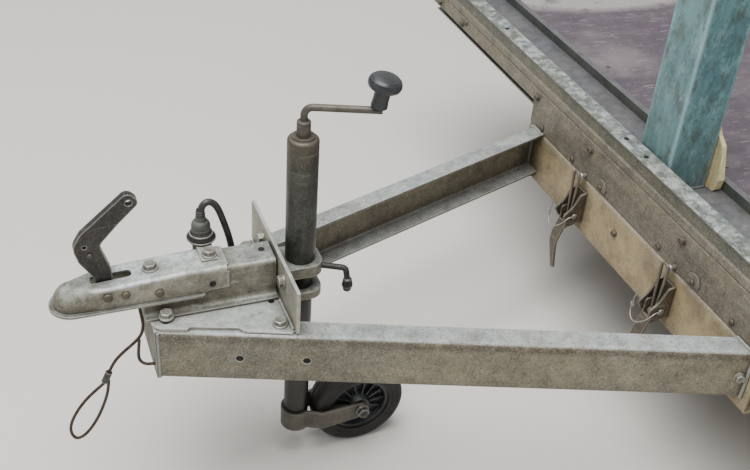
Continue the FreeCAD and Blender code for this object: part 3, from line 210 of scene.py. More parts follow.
# tones: side face and its darker patches, top (paler, a painted sky reflection) and its darker patches, rubbed edge
# with a painted highlight, run, dust, grime (also the painted shade in corners)
# bands: axis, where it starts and is full, its tone and strength, and whether on upright faces only
steelLooks = {
    # channel legs: olive-brown webs below, pale flange above, its paleness a painted sky reflection
    "dustyLegZinc": {"tones": "#7a7159 #5a5442 #a1a7a7 #858c8b #bfc4bf #8a816c #877b66 #39332a",
        "patchMm": 42.0, "spangleMm": 7.0, "spangle": 0.1, "runAmount": 0.35, "dustAmount": 0.35,
        "blotch": 0.36, "grit": 0.7, "edge": 0.6, "creviceMm": 45.0, "creviceAmount": 0.5, "rough": 0.62,
        "bands": ((2, 0.312, 0.288, "#564e3f", 0.5), (2, 0.354, 0.363, "#463b2c", 0.85, "upright"),
                  (0, 1.42, 1.64, "#4c4a3e", 0.5, "upright"), (0, 0.8, 0.5, "#5f4f3f", 0.5, "upright"))},
    # thick flame-cut plates behind and under the coupling
    "washedPlateZinc": {"tones": "#a09b89 #878273 #a9aeab #8f9490 #c9cdc9 #8c8877 #8f8670 #3a352b",
        "patchMm": 30.0, "spangleMm": 6.0, "spangle": 0.15, "runAmount": 0.25, "dustAmount": 0.15,
        "blotch": 0.28, "grit": 0.45, "scrape": 0.35, "rust": 0.2, "edge": 0.65, "creviceAmount": 0.8,
        "rough": 0.55, "metallic": 0.25, "relief": 0.35},
    # pressed coupling: grey-blue on top, a painted sky reflection, khaki with brown stains down its sides
    "pressedCouplingZinc": {"tones": "#939080 #716d5d #cbd1cf #9aa19f #c4cac6 #857e66 #7f7559 #332e25",
        "patchMm": 24.0, "spangleMm": 5.0, "spangle": 0.12, "runAmount": 0.35, "dustAmount": 0.2,
        "blotch": 0.4, "grit": 0.5, "scrape": 0.4, "rust": 0.45, "edge": 0.65, "creviceMm": 22.0,
        "creviceAmount": 0.85, "rough": 0.48, "metallic": 0.3, "relief": 0.45,
        # the last band darkens the back end at its joint with the adapter: painted shade in the gap
        "bands": ((0, 1.9, 1.965, "#524c3c", 0.85), (2, 0.428, 0.408, "#4d4839", 0.6),
                  (0, 1.775, 1.757, "#5b5648", 0.5))},
    # bent channel under the coupling and clamp of the stand, streaked brown where oil and rain have run
    "streakedAdapterZinc": {"tones": "#827d6c #615c4e #969a94 #6f7169 #bfc3bd #7b735d #7f765f #332e25",
        "patchMm": 22.0, "spangleMm": 5.0, "spangle": 0.1, "runAmount": 0.4, "blotch": 0.4, "grit": 0.5,
        "scrape": 0.4, "rust": 0.4, "edge": 0.6, "creviceMm": 25.0, "creviceAmount": 0.85, "rough": 0.52,
        "metallic": 0.25,
        # the band darkens it forward of the joint, where it runs under the coupling: painted shade
        "bands": ((0, 1.735, 1.752, "#4c4739", 0.6),)},
    # crossmember under a film of dry sandy dirt
    "sandyCrossSteel": {"tones": "#a8966f #82745a #a09884 #88816f #b5a98f #b09b74 #aa9b7e #4a3d2c",
        "patchMm": 75.0, "spangleMm": 8.0, "spangle": 0.06, "runAmount": 0.4, "dustAmount": 0.4,
        "blotch": 0.38, "grit": 0.6, "scrape": 0.15, "rust": 0.2, "edge": 0.3, "creviceMm": 40.0,
        "rough": 0.75, "metallic": 0.0, "relief": 0.5,
        # the first band is a painted highlight along the rounded top edge
        "bands": ((2, 0.362, 0.372, "#aaa59a", 0.7), (2, 0.3, 0.27, "#6f6350", 0.6),
                  (1, -0.2, -0.38, "#5d5342", 0.75))},
    # rolled bed rims: taupe faces, mottled pale flange on top, its paleness a painted sky reflection
    "rolledRimZinc": {"tones": "#746854 #5c5243 #ccd3d2 #6d7875 #c8cfcc #83775f #85785f #38322a",
        "patchMm": 36.0, "spangleMm": 9.0, "spangle": 0.1, "blotch": 0.38, "grit": 0.6, "scrape": 0.12,
        "rust": 0.2, "edge": 0.12, "creviceMm": 5.0, "creviceAmount": 0.9, "rough": 0.6, "topLine": 0.497,
        "mottle": (0.46, 0.57),
        "bands": ((2, 0.469, 0.475, "#484c41", 0.75), (2, 0.43, 0.425, "#4a4438", 0.5))},
    # tray floor and deck edge, dark grey-green with darker patches
    "mudTraySteel": {"tones": "#4d544f #3d4340 #5e5e63 #4c4b50 #8a8f8e #59605a #6f675c #2c2a27",
        "patchMm": 40.0, "spangleMm": 8.0, "blotch": 0.25, "grit": 0.35, "scrape": 0.4, "rust": 0.25,
        "edge": 0.35, "creviceAmount": 0.6, "rough": 0.7, "metallic": 0.1, "relief": 0.45},
    # drawn tube of the stand, hubs and axle arms, black with old grease and handled dirt
    "greasyTubeSteel": {"tones": "#383935 #1e1e1b #5c574e #4a463f #85837a #66716f #5a5245 #1d1b18",
        "patchMm": 34.0, "spangleMm": 5.0, "runAmount": 0.5, "dustAmount": 0.25, "blotch": 0.42,
        "grit": 0.55, "scrape": 0.45, "creviceMm": 25.0, "metallic": 0.35, "relief": 0.35,
        "bands": ((2, 0.59, 0.635, "#54493b", 0.6),)},
    # sliding tube, near-black: grease, with the shade of the drawbar painted in
    "darkTubeSteel": {"tones": "#181713 #100f0d #2d2b27 #201e1b #4d4a44 #35332d #3f392f #12110f",
        "patchMm": 26.0, "spangleMm": 5.0, "runAmount": 0.4, "dustAmount": 0.15, "grit": 0.25, "scrape": 0.3,
        "rust": 0.3, "edge": 0.3, "creviceMm": 25.0, "rough": 0.42, "relief": 0.35},
    # forged and pressed ironwork: coupling handle, clamp screw, ferrule and the stand wheel's nuts
    "wornBlackIron": {"tones": "#292623 #1c1b1a #393532 #292827 #a5a39c #37322c #463e34 #191613",
        "spangle": 0.08, "runAmount": 0.25, "dustAmount": 0.18, "grit": 0.15, "scrape": 0.3, "edge": 0.9,
        "creviceMm": 8.0, "metallic": 0.45},
    # latches: brown-grey pressed steel with a film of dust, pale along its edges: rubbed wear with a painted
    # highlight
    "brownLatchSteel": {"tones": "#564c41 #3d362e #6e6457 #544b40 #a59d8f #6a5d4d #7a6b57 #231e19",
        "spangle": 0.06, "runAmount": 0.25, "scrape": 0.3, "rust": 0.45, "edge": 0.7, "creviceMm": 9.0,
        "creviceAmount": 0.8, "rough": 0.5, "metallic": 0.3},
    # pressed fork strap and crank, greyer than the ironwork
    "dullForkSteel": {"tones": "#4a4740 #38362f #5a564e #494640 #8c887d #5f594f #655b4c #24211d",
        "patchMm": 18.0, "spangleMm": 4.0, "spangle": 0.06, "scrape": 0.35, "creviceMm": 12.0,
        "creviceAmount": 0.75, "rough": 0.5, "metallic": 0.3, "relief": 0.35},
    # electroplated screws, washers, pins and clips, gone dull
    "dullPlatedSteel": {"tones": "#79756b #5f5c54 #8d8a81 #726f67 #c9c9c4 #857f70 #867b68 #3a352d",
        "patchMm": 9.0, "spangle": 0.1, "runAmount": 0.15, "dustAmount": 0.25, "blotch": 0.2, "scrape": 0.2,
        "rust": 0.45, "edge": 0.6, "creviceMm": 5.0, "rough": 0.42, "metallic": 0.55, "relief": 0.3},
    # rusty rivets and bolt heads on the bed's face
    "brownRivetSteel": {"tones": "#4d4337 #3a332a #675c4e #534a3e #8a8172 #54493b #6e6250 #231e18",
        "patchMm": 8.0, "runAmount": 0.2, "blotch": 0.25, "rust": 0.5, "edge": 0.4, "creviceMm": 4.0,
        "rough": 0.6, "metallic": 0.25},
    # silver wheel enamel, chalked, with brake-dust brown and painted shade in its vents
    "silverWheelEnamel": {"tones": "#8b8c8a #757674 #969794 #80817f #b9bab8 #7d786d #7f745f #37322a",
        "patchMm": 38.0, "spangleMm": 2.0, "spangle": 0.03, "runAmount": 0.2, "blotch": 0.15, "grit": 0.2,
        "rust": 0.15, "edge": 0.3, "creviceMm": 16.0, "creviceAmount": 0.75, "metallic": 0.4, "relief": 0.2},
    # new-looking plated stud heads, still bright
    "brightPinSteel": {"tones": "#a09f98 #7f7d76 #b3b2ac #8f8d86 #dedfdc #9a9486 #9b9282 #4a453d",
        "patchMm": 6.0, "runAmount": 0.1, "dustAmount": 0.2, "blotch": 0.1, "grit": 0.2, "rust": 0.2,
        "creviceMm": 3.0, "creviceAmount": 0.5, "rough": 0.35, "metallic": 0.6, "relief": 0.2},
    # folded galvanised mudguard sheet
    "sheetGuardZinc": {"tones": "#7e7b72 #6b6961 #9a9e9b #838784 #bcc1bd #857d6b #857a65 #3a352c",
        "patchMm": 50.0, "spangleMm": 12.0, "spangle": 0.2, "blotch": 0.2, "grit": 0.25, "scrape": 0.25,
        "rust": 0.12, "creviceAmount": 0.6, "rough": 0.5, "metallic": 0.4, "relief": 0.25},
}


def filmFacedPly():
    # film-faced birch plywood: purple-brown phenolic skin, rubbed grey and pale where loads slide
    look = {"film": "#544b52", "deep": "#453d45", "rub": "#7b727b", "bare": "#9a908e", "dust": "#7d736e",
            "worn": "#a09b96", "veneer": "#a98d63", "glueLine": "#6d5639", "veneerMm": 1.4,
            "loadAt": (0.30, -0.84, 0.464)}
    material, tree, place, shader = newMaterial("filmFacedPly")
    patches = cloud(tree, place, 70.0, 0.35, 0.7)
    smear = cloud(tree, place, 210.0, 0.5, 0.7, detail=9.0, rough=0.62, stretch=(0.7, 1, 1), shift=13.0)
    squeezed = addNode(tree, "Mapping", {"Scale": (0.5, 1, 1), "Vector": place}).outputs[0]
    far = addNode(tree, "VectorMath", {"operation": "DISTANCE", 0: squeezed, 1: look["loadAt"]}).outputs["Value"]
    stood = addNode(tree, "MapRange", {"Value": far, "From Min": 0.185, "From Max": 0.15, "To Max": 0.85})
    bared = cloud(tree, place, 45.0, 0.28, 0.46, detail=9.0, shift=5.0)  # worn off where a load stood
    long = cloud(tree, place, 26.0, 0.5, 0.72, detail=8.0, rough=0.7, stretch=(0.5, 1, 1), shift=3.0)
    thin = cloud(tree, place, 6.0, 0.62, 0.66, detail=3.0, stretch=(0.12, 1, 1), shift=7.0)
    dust = cloud(tree, place, 3.0, 0.55, 0.7, detail=3.0, shift=11.0)
    plies = addNode(tree, "TexWave", {"Scale": perMetre(look["veneerMm"]) / 6.28, "Distortion": 0.6,
                                      "wave_type": "BANDS", "bands_direction": "Z", "Vector": place})
    edgeWood = coats(tree, look["veneer"], (plies.outputs["Fac"], 1.0, look["glueLine"]))
    tone = coats(tree, look["film"], (patches, 1.0, look["deep"]), (smear, 0.3, look["worn"]),
                 (stood.outputs[0], bared, look["worn"]), (long, 0.4, look["rub"]), (thin, 0.6, look["bare"]),
                 (dust, 0.35, look["dust"]), (facingUp(tree, 0.6, 0.3), 1.0, edgeWood))
    finishSurface(tree, shader, tone, (long, 0.42, 0.75), long, 0.5, 0.3, 0.8)
    return material


def tealPostPaint():
    # teal alkyd paint brushed on a steel tube: streaked, chalky, stained low down, rubbed at its corners and pale
    # along them with a painted highlight
    look = {"paint": "#5f8688", "deep": "#42646a", "chalk": "#8fb0b2", "edge": "#a9cbd2", "dirt": "#45493f",
            "rust": "#5b4a3a", "scuff": "#2b3c3e"}
    material, tree, place, shader = newMaterial("tealPostPaint")
    patches = cloud(tree, place, 90.0, 0.38, 0.68)
    runs = cloud(tree, place, 14.0, 0.48, 0.68, detail=7.0, stretch=(1, 1, 0.08), shift=4.0)
    strokes = cloud(tree, place, 6.0, 0.55, 0.7, detail=6.0, stretch=(1, 1, 0.05), shift=14.0)
    faded = cloud(tree, place, 20.0, 0.5, 0.62, detail=9.0, rough=0.7, stretch=(1, 1, 0.6), shift=37.0)
    grime = cloud(tree, place, 26.0, 0.49, 0.6, detail=10.0, rough=0.72, stretch=(1, 1, 0.55), shift=8.0)
    scuffs = cloud(tree, place, 6.5, 0.55, 0.66, detail=9.0, rough=0.75, stretch=(1, 1, 0.7), shift=47.0)
    rubs = cloud(tree, place, 5.0, 0.6, 0.68, detail=6.0, rough=0.7, stretch=(1, 1, 0.3), shift=28.0)
    height = addNode(tree, "SeparateXYZ", {0: place}).outputs[2]
    splashed = addNode(tree, "MapRange", {"Value": height, "From Min": 0.62, "From Max": 0.44})  # near its foot
    chips = cloud(tree, place, 7.0, 0.66, 0.69, shift=18.0)
    tone = coats(tree, look["paint"], (patches, 1.0, look["deep"]), (runs, 0.25, look["chalk"]),
                 (strokes, 0.2, look["deep"]), (faded, 0.4, look["chalk"]), (grime, 0.65, look["dirt"]),
                 (scuffs, 0.5, look["scuff"]), (rubs, 0.6, look["edge"]),
                 (splashed.outputs[0], 0.45, look["dirt"]), (chips, 0.8, look["rust"]),
                 # pale along the rounded corners: a painted highlight with rubbed paint
                 (convexEdgeMask(tree, 8.0), 0.85, look["edge"]))
    finishSurface(tree, shader, tone, (runs, 0.38, 0.62), strokes, 0.4, 0.3, 1.0)
    return material


def sawnSoftwood():
    # split and sawn pine: cream with long soft grain and a few darker fibres
    look = {"pale": "#d3c798", "grain": "#ab9263", "fibre": "#7f6840", "dirt": "#8c8064"}
    material, tree, place, shader = newMaterial("sawnSoftwood")
    grain = cloud(tree, place, 5.0, 0.35, 0.7, detail=6.0, stretch=(1, 1, 0.08))
    fibre = cloud(tree, place, 2.0, 0.6, 0.68, detail=3.0, stretch=(1, 1, 0.06), shift=3.0)
    dirt = cloud(tree, place, 14.0, 0.5, 0.7, shift=6.0)
    tone = coats(tree, look["pale"], (grain, 0.6, look["grain"]), (fibre, 0.6, look["fibre"]),
                 (dirt, 0.4, look["dirt"]))
    finishSurface(tree, shader, tone, (grain, 0.75, 0.9), grain, 0.5, 0.5, 0.6)
    return material


def mouldedBlack(name, look):
    # moulded plastic or rubber: fine grain, greyed by dust on its upper faces, with caked dirt and painted shade in
    # its hollows
    base, deep, dust, hollowTone = look["tones"].split()
    material, tree, place, shader = newMaterial(name)
    patches = cloud(tree, place, look["patchMm"], 0.35, 0.7)
    film = cloud(tree, place, 26.0, 0.4, 0.75, shift=2.0)
    grit = cloud(tree, place, 2.0, 0.55, 0.7, detail=3.0, shift=6.0)
    tone = coats(tree, deep, (patches, 1.0, base), (film, look["dustAmount"], dust),
                 (grit, look["dustAmount"], dust), (facingUp(tree), look["settled"], dust),
                 (convexEdgeMask(tree, 2.0), look["edge"], dust),
                 # hollows take their own tone: caked dirt with painted shade
                 (creviceDirtAndShade(tree, look["creviceMm"]), look["hollowDirtAndShade"], hollowTone))
    fine = addNode(tree, "TexNoise", {"Scale": perMetre(0.9), "Detail": 3.0, "Vector": place})
    finishSurface(tree, shader, tone, (film, look["rough"] - 0.1, look["rough"] + 0.15), fine.outputs[0], 0.3,
                  0.3, 0.8)
    return material


# tones: surface, its darker patches, dust, and the tone of its hollows: caked dirt with painted shade
blackLooks = {
    # glass-filled nylon: crank knob, stand wheel's centre, lamp bases and tyre valves
    "blackNylon": {"tones": "#24272c #15171a #5a5a59 #2a2823", "patchMm": 20.0, "dustAmount": 0.25,
        "settled": 0.15, "edge": 0.25, "rough": 0.45, "creviceMm": 6.0, "hollowDirtAndShade": 0.5},
    # the same nylon bleached by sun and dust: the plug's shell
    "dustyNylon": {"tones": "#3e3f3b #282826 #77766d #24221e", "patchMm": 12.0, "dustAmount": 0.28,
        "settled": 0.2, "edge": 0.4, "rough": 0.6, "creviceMm": 6.0, "hollowDirtAndShade": 0.6},
    # black rubber of the plug's skirt, and of the grommets that paint the shade in open holes, clean in their dish
    "blackRubberAndHoleShade": {"tones": "#1a1917 #0f0e0d #4a4439 #0c0b0a", "patchMm": 6.0, "dustAmount": 0.1,
        "settled": 0.0, "edge": 0.0, "rough": 0.85, "creviceMm": 5.0, "hollowDirtAndShade": 0.6},
    # PVC sheath of the seven-core lead
    "pvcSheath": {"tones": "#26282a #17181a #6f685c #2a2620", "patchMm": 14.0, "dustAmount": 0.3,
        "settled": 0.15, "edge": 0.0, "rough": 0.5, "creviceMm": 8.0, "hollowDirtAndShade": 0.5},
    # tyre rubber with dry mud in the tread
    "roadTyreRubber": {"tones": "#2a2a2a #1b1b1b #6b6152 #5b503f", "patchMm": 60.0, "dustAmount": 0.35,
        "settled": 0.15, "edge": 0.3, "rough": 0.8, "creviceMm": 9.0, "hollowDirtAndShade": 0.7},
    # hard rubber tread of the stand's little wheel, near-black with painted shade
    "solidWheelRubber": {"tones": "#12110f #0d0c0b #2d261f #3a2f24", "patchMm": 30.0, "dustAmount": 0.3,
        "settled": 0.1, "edge": 0.2, "rough": 0.7, "creviceMm": 8.0, "hollowDirtAndShade": 0.6},
    # blank sheet-aluminium plate, white lacquered
    "whitePlateLacquer": {"tones": "#cfcdc4 #bbb8ad #8f8470 #6b614f", "patchMm": 60.0, "dustAmount": 0.25,
        "settled": 0.2, "edge": 0.2, "rough": 0.45, "creviceMm": 10.0, "hollowDirtAndShade": 0.4},
}


def rustyWireRope():
    # galvanised wire rope with its zinc gone: brown strands with a trace of bare steel
    look = {"rust": "#46352a", "deep": "#2a211b", "steel": "#867c72", "metallic": 0.3}
    material, tree, place, shader = newMaterial("rustyWireRope")
    shader.inputs["Metallic"].default_value = look["metallic"]
    patches = cloud(tree, place, 6.0, 0.35, 0.7)
    bare = cloud(tree, place, 2.0, 0.6, 0.72, detail=3.0, shift=4.0)
    tone = coats(tree, look["rust"], (patches, 1.0, look["deep"]), (bare, 0.5, look["steel"]))
    finishSurface(tree, shader, tone, (patches, 0.5, 0.8), bare, 0.3, 0.4, 0.4)
    return material


def lampAcrylic(name, tint):
    # moulded acrylic lens: deep clear colour, glossy under a dusty face
    look = {"tint": tint, "dust": "#a08c78"}
    material, tree, place, shader = newMaterial(name)
    film = cloud(tree, place, 22.0, 0.45, 0.75)
    tone = coats(tree, look["tint"], (film, 0.3, look["dust"]))
    finishSurface(tree, shader, tone, (film, 0.12, 0.45), film, 0.2, 0.1, 1.0)
    return material


finishes = {name: agedSteel(name, look) for name, look in steelLooks.items()}
finishes.update({name: mouldedBlack(name, look) for name, look in blackLooks.items()})
for made in (filmFacedPly(), tealPostPaint(), sawnSoftwood(), rustyWireRope(),
             lampAcrylic("redLampAcrylic", "#8f1512"), lampAcrylic("amberLampAcrylic", "#b5660f")):
    finishes[made.name] = made

slotFinish = {
    "galvanised_leg": "dustyLegZinc", "galvanised_plate": "washedPlateZinc",
    "coupling_steel": "pressedCouplingZinc", "sand_steel": "sandyCrossSteel", "bed_steel": "rolledRimZinc",
    "tray_steel": "mudTraySteel", "deck_ply": "filmFacedPly", "post_paint": "tealPostPaint",
    "raw_wood": "sawnSoftwood", "stand_steel": "greasyTubeSteel", "bright_steel": "dullPlatedSteel",
    "dark_iron": "wornBlackIron", "black_plastic": "blackNylon", "cord_black": "pvcSheath",
    "rusty_cable": "rustyWireRope", "tyre_rubber": "roadTyreRubber", "wheel_steel": "silverWheelEnamel",
    "hub_steel": "greasyTubeSteel", "lamp_red": "redLampAcrylic", "plate_white": "whitePlateLacquer"}
nodeFinish = {"coupling_adapter": "streakedAdapterZinc", "jockey_inner_tube": "darkTubeSteel",
              "jockey_fork": "dullForkSteel", "crank_handle": "dullForkSteel",
              "jockey_tyre": "solidWheelRubber", "jockey_clamp": "streakedAdapterZinc",
              "mudguard_left": "sheetGuardZinc", "mudguard_right": "sheetGuardZinc"}
nodeFinish.update({f"latch_{piece}_{name}": "brownLatchSteel"
                   for piece in ("base", "lever", "ring") for name in latchAt})
for row in frame["record"]["subparts"]:
    mesh = nodes[row["node"]].data
    mesh.materials.clear()
    mesh.materials.append(finishes[nodeFinish.get(row["node"], slotFinish[row["material_slot"]])])
print("materials:", len(finishes))

# modelling


def pickOnly(piece):
    bpy.ops.object.select_all(action="DESELECT")
    bpy.context.view_layer.objects.active = piece
    piece.select_set(True)


def openMesh(piece, kind="FACE", start="DESELECT"):  # into edit mode, with nothing or all of it selected
    pickOnly(piece)
    bpy.ops.object.mode_set(mode="EDIT")
    bpy.ops.mesh.select_mode(type=kind)
    bpy.ops.mesh.select_all(action=start)


def pickFaces(piece, rule):  # rule gets a face's centre and normal in millimetres
    shape = bmesh.from_edit_mesh(piece.data)
    for face in shape.faces:
        face.select_set(bool(rule(face.calc_center_median() * 1000, face.normal)))
    bmesh.update_edit_mesh(piece.data)


def pickEdges(piece, rule):  # rule gets an edge's two ends in millimetres
    shape = bmesh.from_edit_mesh(piece.data)
    for edge in shape.edges:
        edge.select_set(bool(rule(edge.verts[0].co * 1000, edge.verts[1].co * 1000)))
    bmesh.update_edit_mesh(piece.data)


def closeMesh():
    bpy.ops.object.mode_set(mode="OBJECT")


def primitive(kind, **settings):
    bpy.ops.object.select_all(action="DESELECT")
    getattr(bpy.ops.mesh, "primitive_" + kind + "_add")(**settings)
    return bpy.context.object


def block(centre, size):
    piece = primitive("cube", size=1, location=Vector(centre) * mm, scale=[side * mm for side in size])
    bpy.ops.object.transform_apply(location=True, rotation=True, scale=True)
    return piece


def disc(corners, radius, foot, top):  # upright cylinder or prism between two heights
    piece = primitive("cylinder", vertices=corners, radius=radius * mm, depth=(top - foot) * mm,
                      location=(0, 0, (top + foot) / 2 * mm))
    bpy.ops.object.transform_apply(location=True)
    return piece


def bevelEdges(piece, rule, width, segments=2):
    openMesh(piece, "EDGE")
    pickEdges(piece, rule)
    bpy.ops.mesh.bevel(offset=width * mm, segments=segments)
    closeMesh()


def raiseFaces(height):  # the faces that are selected, out along their normals
    bpy.ops.mesh.extrude_region_shrink_fatten(TRANSFORM_OT_shrink_fatten={"value": height * mm})


def copyOf(master):
    copy = master.copy()
    copy.data = master.data.copy()
    bpy.context.scene.collection.objects.link(copy)
    return copy


def joined(pieces):
    pickOnly(pieces[0])
    for piece in pieces:
        piece.select_set(True)
    if len(pieces) > 1:
        bpy.ops.object.join()
    return bpy.context.object


def standOn(piece, spot, facing, turn=0.0, size=1.0):  # its own z axis along facing, its foot at spot
    piece.matrix_world = (Matrix.Translation(Vector(spot) * mm) @
                          Vector(facing).to_track_quat("Z", "Y").to_matrix().to_4x4() @
                          Matrix.Rotation(turn, 4, "Z") @ Matrix.Scale(size, 4))
    return piece


def finishPiece(piece, name, slot, body, finish=None, smooth=35):
    pickOnly(piece)
    bpy.ops.object.transform_apply(location=True, rotation=True, scale=True)
    bpy.ops.object.shade_smooth_by_angle(angle=math.radians(smooth))
    piece.name = name
    piece.data.name = name
    piece.data.materials.clear()
    piece.data.materials.append(finishes[finish or slotFinish[slot]])
    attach(piece, body)
    return piece


def lathe(profile, steps=48, ring=False):
    # turned shape: points of (height, radius) are extruded one from another, then spun about z
    path = profile + profile[:1] if ring else profile
    piece = primitive("plane", size=0.01)
    openMesh(piece, "VERT", "SELECT")
    bpy.ops.mesh.merge(type="CENTER")
    bpy.ops.transform.translate(value=(path[0][1] * mm, 0, path[0][0] * mm))
    for (z0, r0), (z1, r1) in zip(path, path[1:]):
        bpy.ops.mesh.extrude_vertices_move(TRANSFORM_OT_translate={"value": ((r1 - r0) * mm, 0, (z1 - z0) * mm)})
    bpy.ops.mesh.select_all(action="SELECT")
    bpy.ops.mesh.spin(steps=steps, angle=math.tau, center=(0, 0, 0), axis=(0, 0, 1))
    bpy.ops.mesh.select_all(action="SELECT")
    bpy.ops.mesh.remove_doubles(threshold=0.00002)
    bpy.ops.mesh.normals_make_consistent(inside=False)
    closeMesh()
    return piece


def seat(node, above, towards):
    # where a fastener's foot comes to rest: the CAD face met on the way from above, or beside its hole
    way = Vector(towards).normalized()
    for beside in (0.0, 8.0):
        start = Vector(above) + way.orthogonal().normalized() * beside
        hit, spot, normal, _ = nodes[node].ray_cast(start * mm, way, distance=0.4)
        if hit:
            return Vector(above) + way * (spot * 1000 - start).length, normal
    raise RuntimeError("nothing to stand on: " + node + " " + str(above))


def fasten(name, master, size, rows, slot, body, finish=None):
    # copies of one fastener, each seated on its node; a row is node, a point clear of it, direction
    copies = []
    for number, row in enumerate(rows):
        spot, normal = seat(*row)
        copies.append(standOn(copyOf(master), spot, normal, turn=0.7 * number, size=size))
    return finishPiece(joined(copies), name, slot, body, finish)


def hexBoltMaster():
    # M12 hexagon head on its washer, seen from outside, chamfered and a little dished on top
    bolt = {"across": 19.0, "head": 8.0, "washer": 26.0, "thick": 2.5, "sunk": 1.0, "washerEdge": 0.6,
            "chamfer": 1.4, "rise": 0.8, "rim": 2.2, "dish": 0.5, "edge": 0.5}
    washer = disc(32, bolt["washer"] / 2, -bolt["sunk"], bolt["thick"])
    bevelEdges(washer, lambda a, b: min(a.z, b.z) > bolt["thick"] - 0.1, bolt["washerEdge"])
    head = disc(6, bolt["across"] / math.sqrt(3), bolt["thick"], bolt["thick"] + bolt["head"])
    openMesh(head)
    pickFaces(head, lambda c, n: n.z > 0.9)
    for inset, lift in ((bolt["chamfer"], bolt["rise"]), (bolt["rim"], -bolt["dish"])):
        bpy.ops.mesh.inset(thickness=inset * mm)
        bpy.ops.transform.translate(value=(0, 0, lift * mm))
    closeMesh()
    bevelEdges(head, lambda a, b: abs(a.z - b.z) > bolt["head"] / 2, bolt["edge"])
    return joined([washer, head])


def rivetMaster():
    # domed rivet head, sunk a little into its seat
    rivet = {"radius": 8.0, "flatness": 0.55, "sunk": 0.12}
    dome = primitive("uv_sphere", segments=24, ring_count=12, radius=rivet["radius"] * mm)
    openMesh(dome, "FACE", "SELECT")
    bpy.ops.mesh.bisect(plane_co=(0, 0, 0), plane_no=(0, 0, 1), use_fill=True, clear_inner=True)
    bpy.ops.mesh.select_all(action="SELECT")
    bpy.ops.transform.resize(value=(1, 1, rivet["flatness"]))
    bpy.ops.transform.translate(value=(0, 0, -rivet["sunk"] * mm))
    closeMesh()
    return dome


def holeShadeGrommetMaster():
    # blind rubber grommet, near-black to paint the shade in a hole: rounded lip and a dished middle
    return lathe([(-1.0, 5.9), (0.8, 5.9), (1.4, 5.2), (1.4, 4.4), (0.9, 3.8), (0.5, 3.4), (0.4, 0)], steps=24)


def weldRun(name, start, end, size, slot, body="chassis"):
    # one pass of weld: overlapping ripples along a joint, each a flattened and ragged bead
    weld = {"flatness": 0.62, "pitch": 0.62, "ragged": 0.12}
    bead = primitive("uv_sphere", segments=8, ring_count=6, radius=size * mm)
    openMesh(bead, "FACE", "SELECT")
    bpy.ops.transform.resize(value=(1, 1, weld["flatness"]))
    closeMesh()
    run = Vector(end) - Vector(start)
    pitch = size * weld["pitch"]
    row = bead.modifiers.new("ripples", "ARRAY")
    row.use_relative_offset = False
    row.use_constant_offset = True
    row.constant_offset_displace = (0, 0, pitch * mm)
    row.count = int(run.length / pitch) + 1
    bpy.ops.object.modifier_apply(modifier=row.name)
    openMesh(bead, "VERT", "SELECT")
    bpy.ops.transform.vertex_random(offset=size * weld["ragged"] * mm, seed=len(name))
    closeMesh()
    return finishPiece(standOn(bead, start, run), name, slot, body, smooth=60)


hexBolt, rivet, holeShadeGrommet = hexBoltMaster(), rivetMaster(), holeShadeGrommetMaster()


def bentLine(name, points, radius, steps, roundness):
    # one smooth line with a round section: the points are the spline's own control points
    data = bpy.data.curves.new(name, "CURVE")
    data.dimensions = "3D"
    data.resolution_u = steps
    data.bevel_depth = radius
    data.bevel_resolution = roundness
    data.use_fill_caps = True
    line = data.splines.new("NURBS")
    line.points.add(len(points) - 1)
    for point, (x, y, z) in zip(line.points, points):
        point.co = (x * mm, y * mm, z * mm, 1.0)
    line.order_u = 3
    line.use_endpoint_u = True
    piece = bpy.data.objects.new(name, data)
    bpy.context.scene.collection.objects.link(piece)
    return piece


def ropeLine(name, points, radius, finish):
    piece = bentLine(name, points, radius, steps=10, roundness=4)
    piece.data.materials.append(finishes[finish])
    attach(piece, "chassis")
    return piece


# cords: points in millimetres, radius and length in metres
plugLead = {"radius": 0.0055, "length": 1.022, "points": (
    (1778, -47, 494), (1778, -47, 510), (1767, -48, 521), (1753, -50, 512),
    (1742, -53, 480), (1729, -55, 430), (1725, -59, 385), (1725, -59, 335),
    (1710, -66, 300), (1682, -78, 278.1), (1652, -98, 276.1), (1612, -139.9, 277.1),
    (1519.2, -170.6, 277.1), (1426.3, -205.2, 277.1), (1333.5, -235.9, 277.1), (1240.7, -270.6, 277.1),
    (1147.8, -301.3, 277.1), (1055, -333.9, 277.1), (1015, -333.9, 277.1))}
safetyCable = {"radius": 0.0025, "length": 0.160, "points": (
    (1890, 20, 424), (1890, 21, 404), (1888, 23, 384), (1886, 27, 364),
    (1891, 30, 347), (1905, 30, 333), (1921, 30, 320), (1936, 30, 304),
    (1944, 30, 286))}
anchorCable = {"radius": 0.0025, "length": 0.074, "points": (
    (1895, 35.2, 344), (1898, 37, 326), (1899, 40, 309), (1891, 43, 300),
    (1878, 45, 299.8), (1864, 46, 299.8))}
cableEye = {"radius": 0.0025, "length": 0.264, "points": (
    (1950, 30, 268), (1963, 30, 257), (1980, 30, 242), (1996, 30, 222),
    (2009, 30, 198), (2013, 30, 176), (2006, 30, 158), (1992, 30, 162),
    (1978, 30, 179), (1965, 30, 202), (1955, 30, 227), (1948, 30, 250),
    (1946, 30, 269))}


def ferrule():
    # crimped sleeve over the two ends of the eye
    crimp = {"top": (1944.0, 30.0, 286.0), "foot": (1952.0, 30.0, 268.0), "radius": 5.5}
    top, foot = Vector(crimp["top"]) * mm, Vector(crimp["foot"]) * mm
    sleeve = primitive("cylinder", vertices=24, radius=crimp["radius"] * mm, depth=(top - foot).length,
                       location=(top + foot) / 2, rotation=(top - foot).to_track_quat("Z", "Y").to_euler())
    sleeve.name = "cable_ferrule"
    bpy.ops.object.transform_apply(location=True, rotation=True, scale=True)
    sleeve.data.materials.append(finishes["wornBlackIron"])
    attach(sleeve, "chassis")
    return sleeve


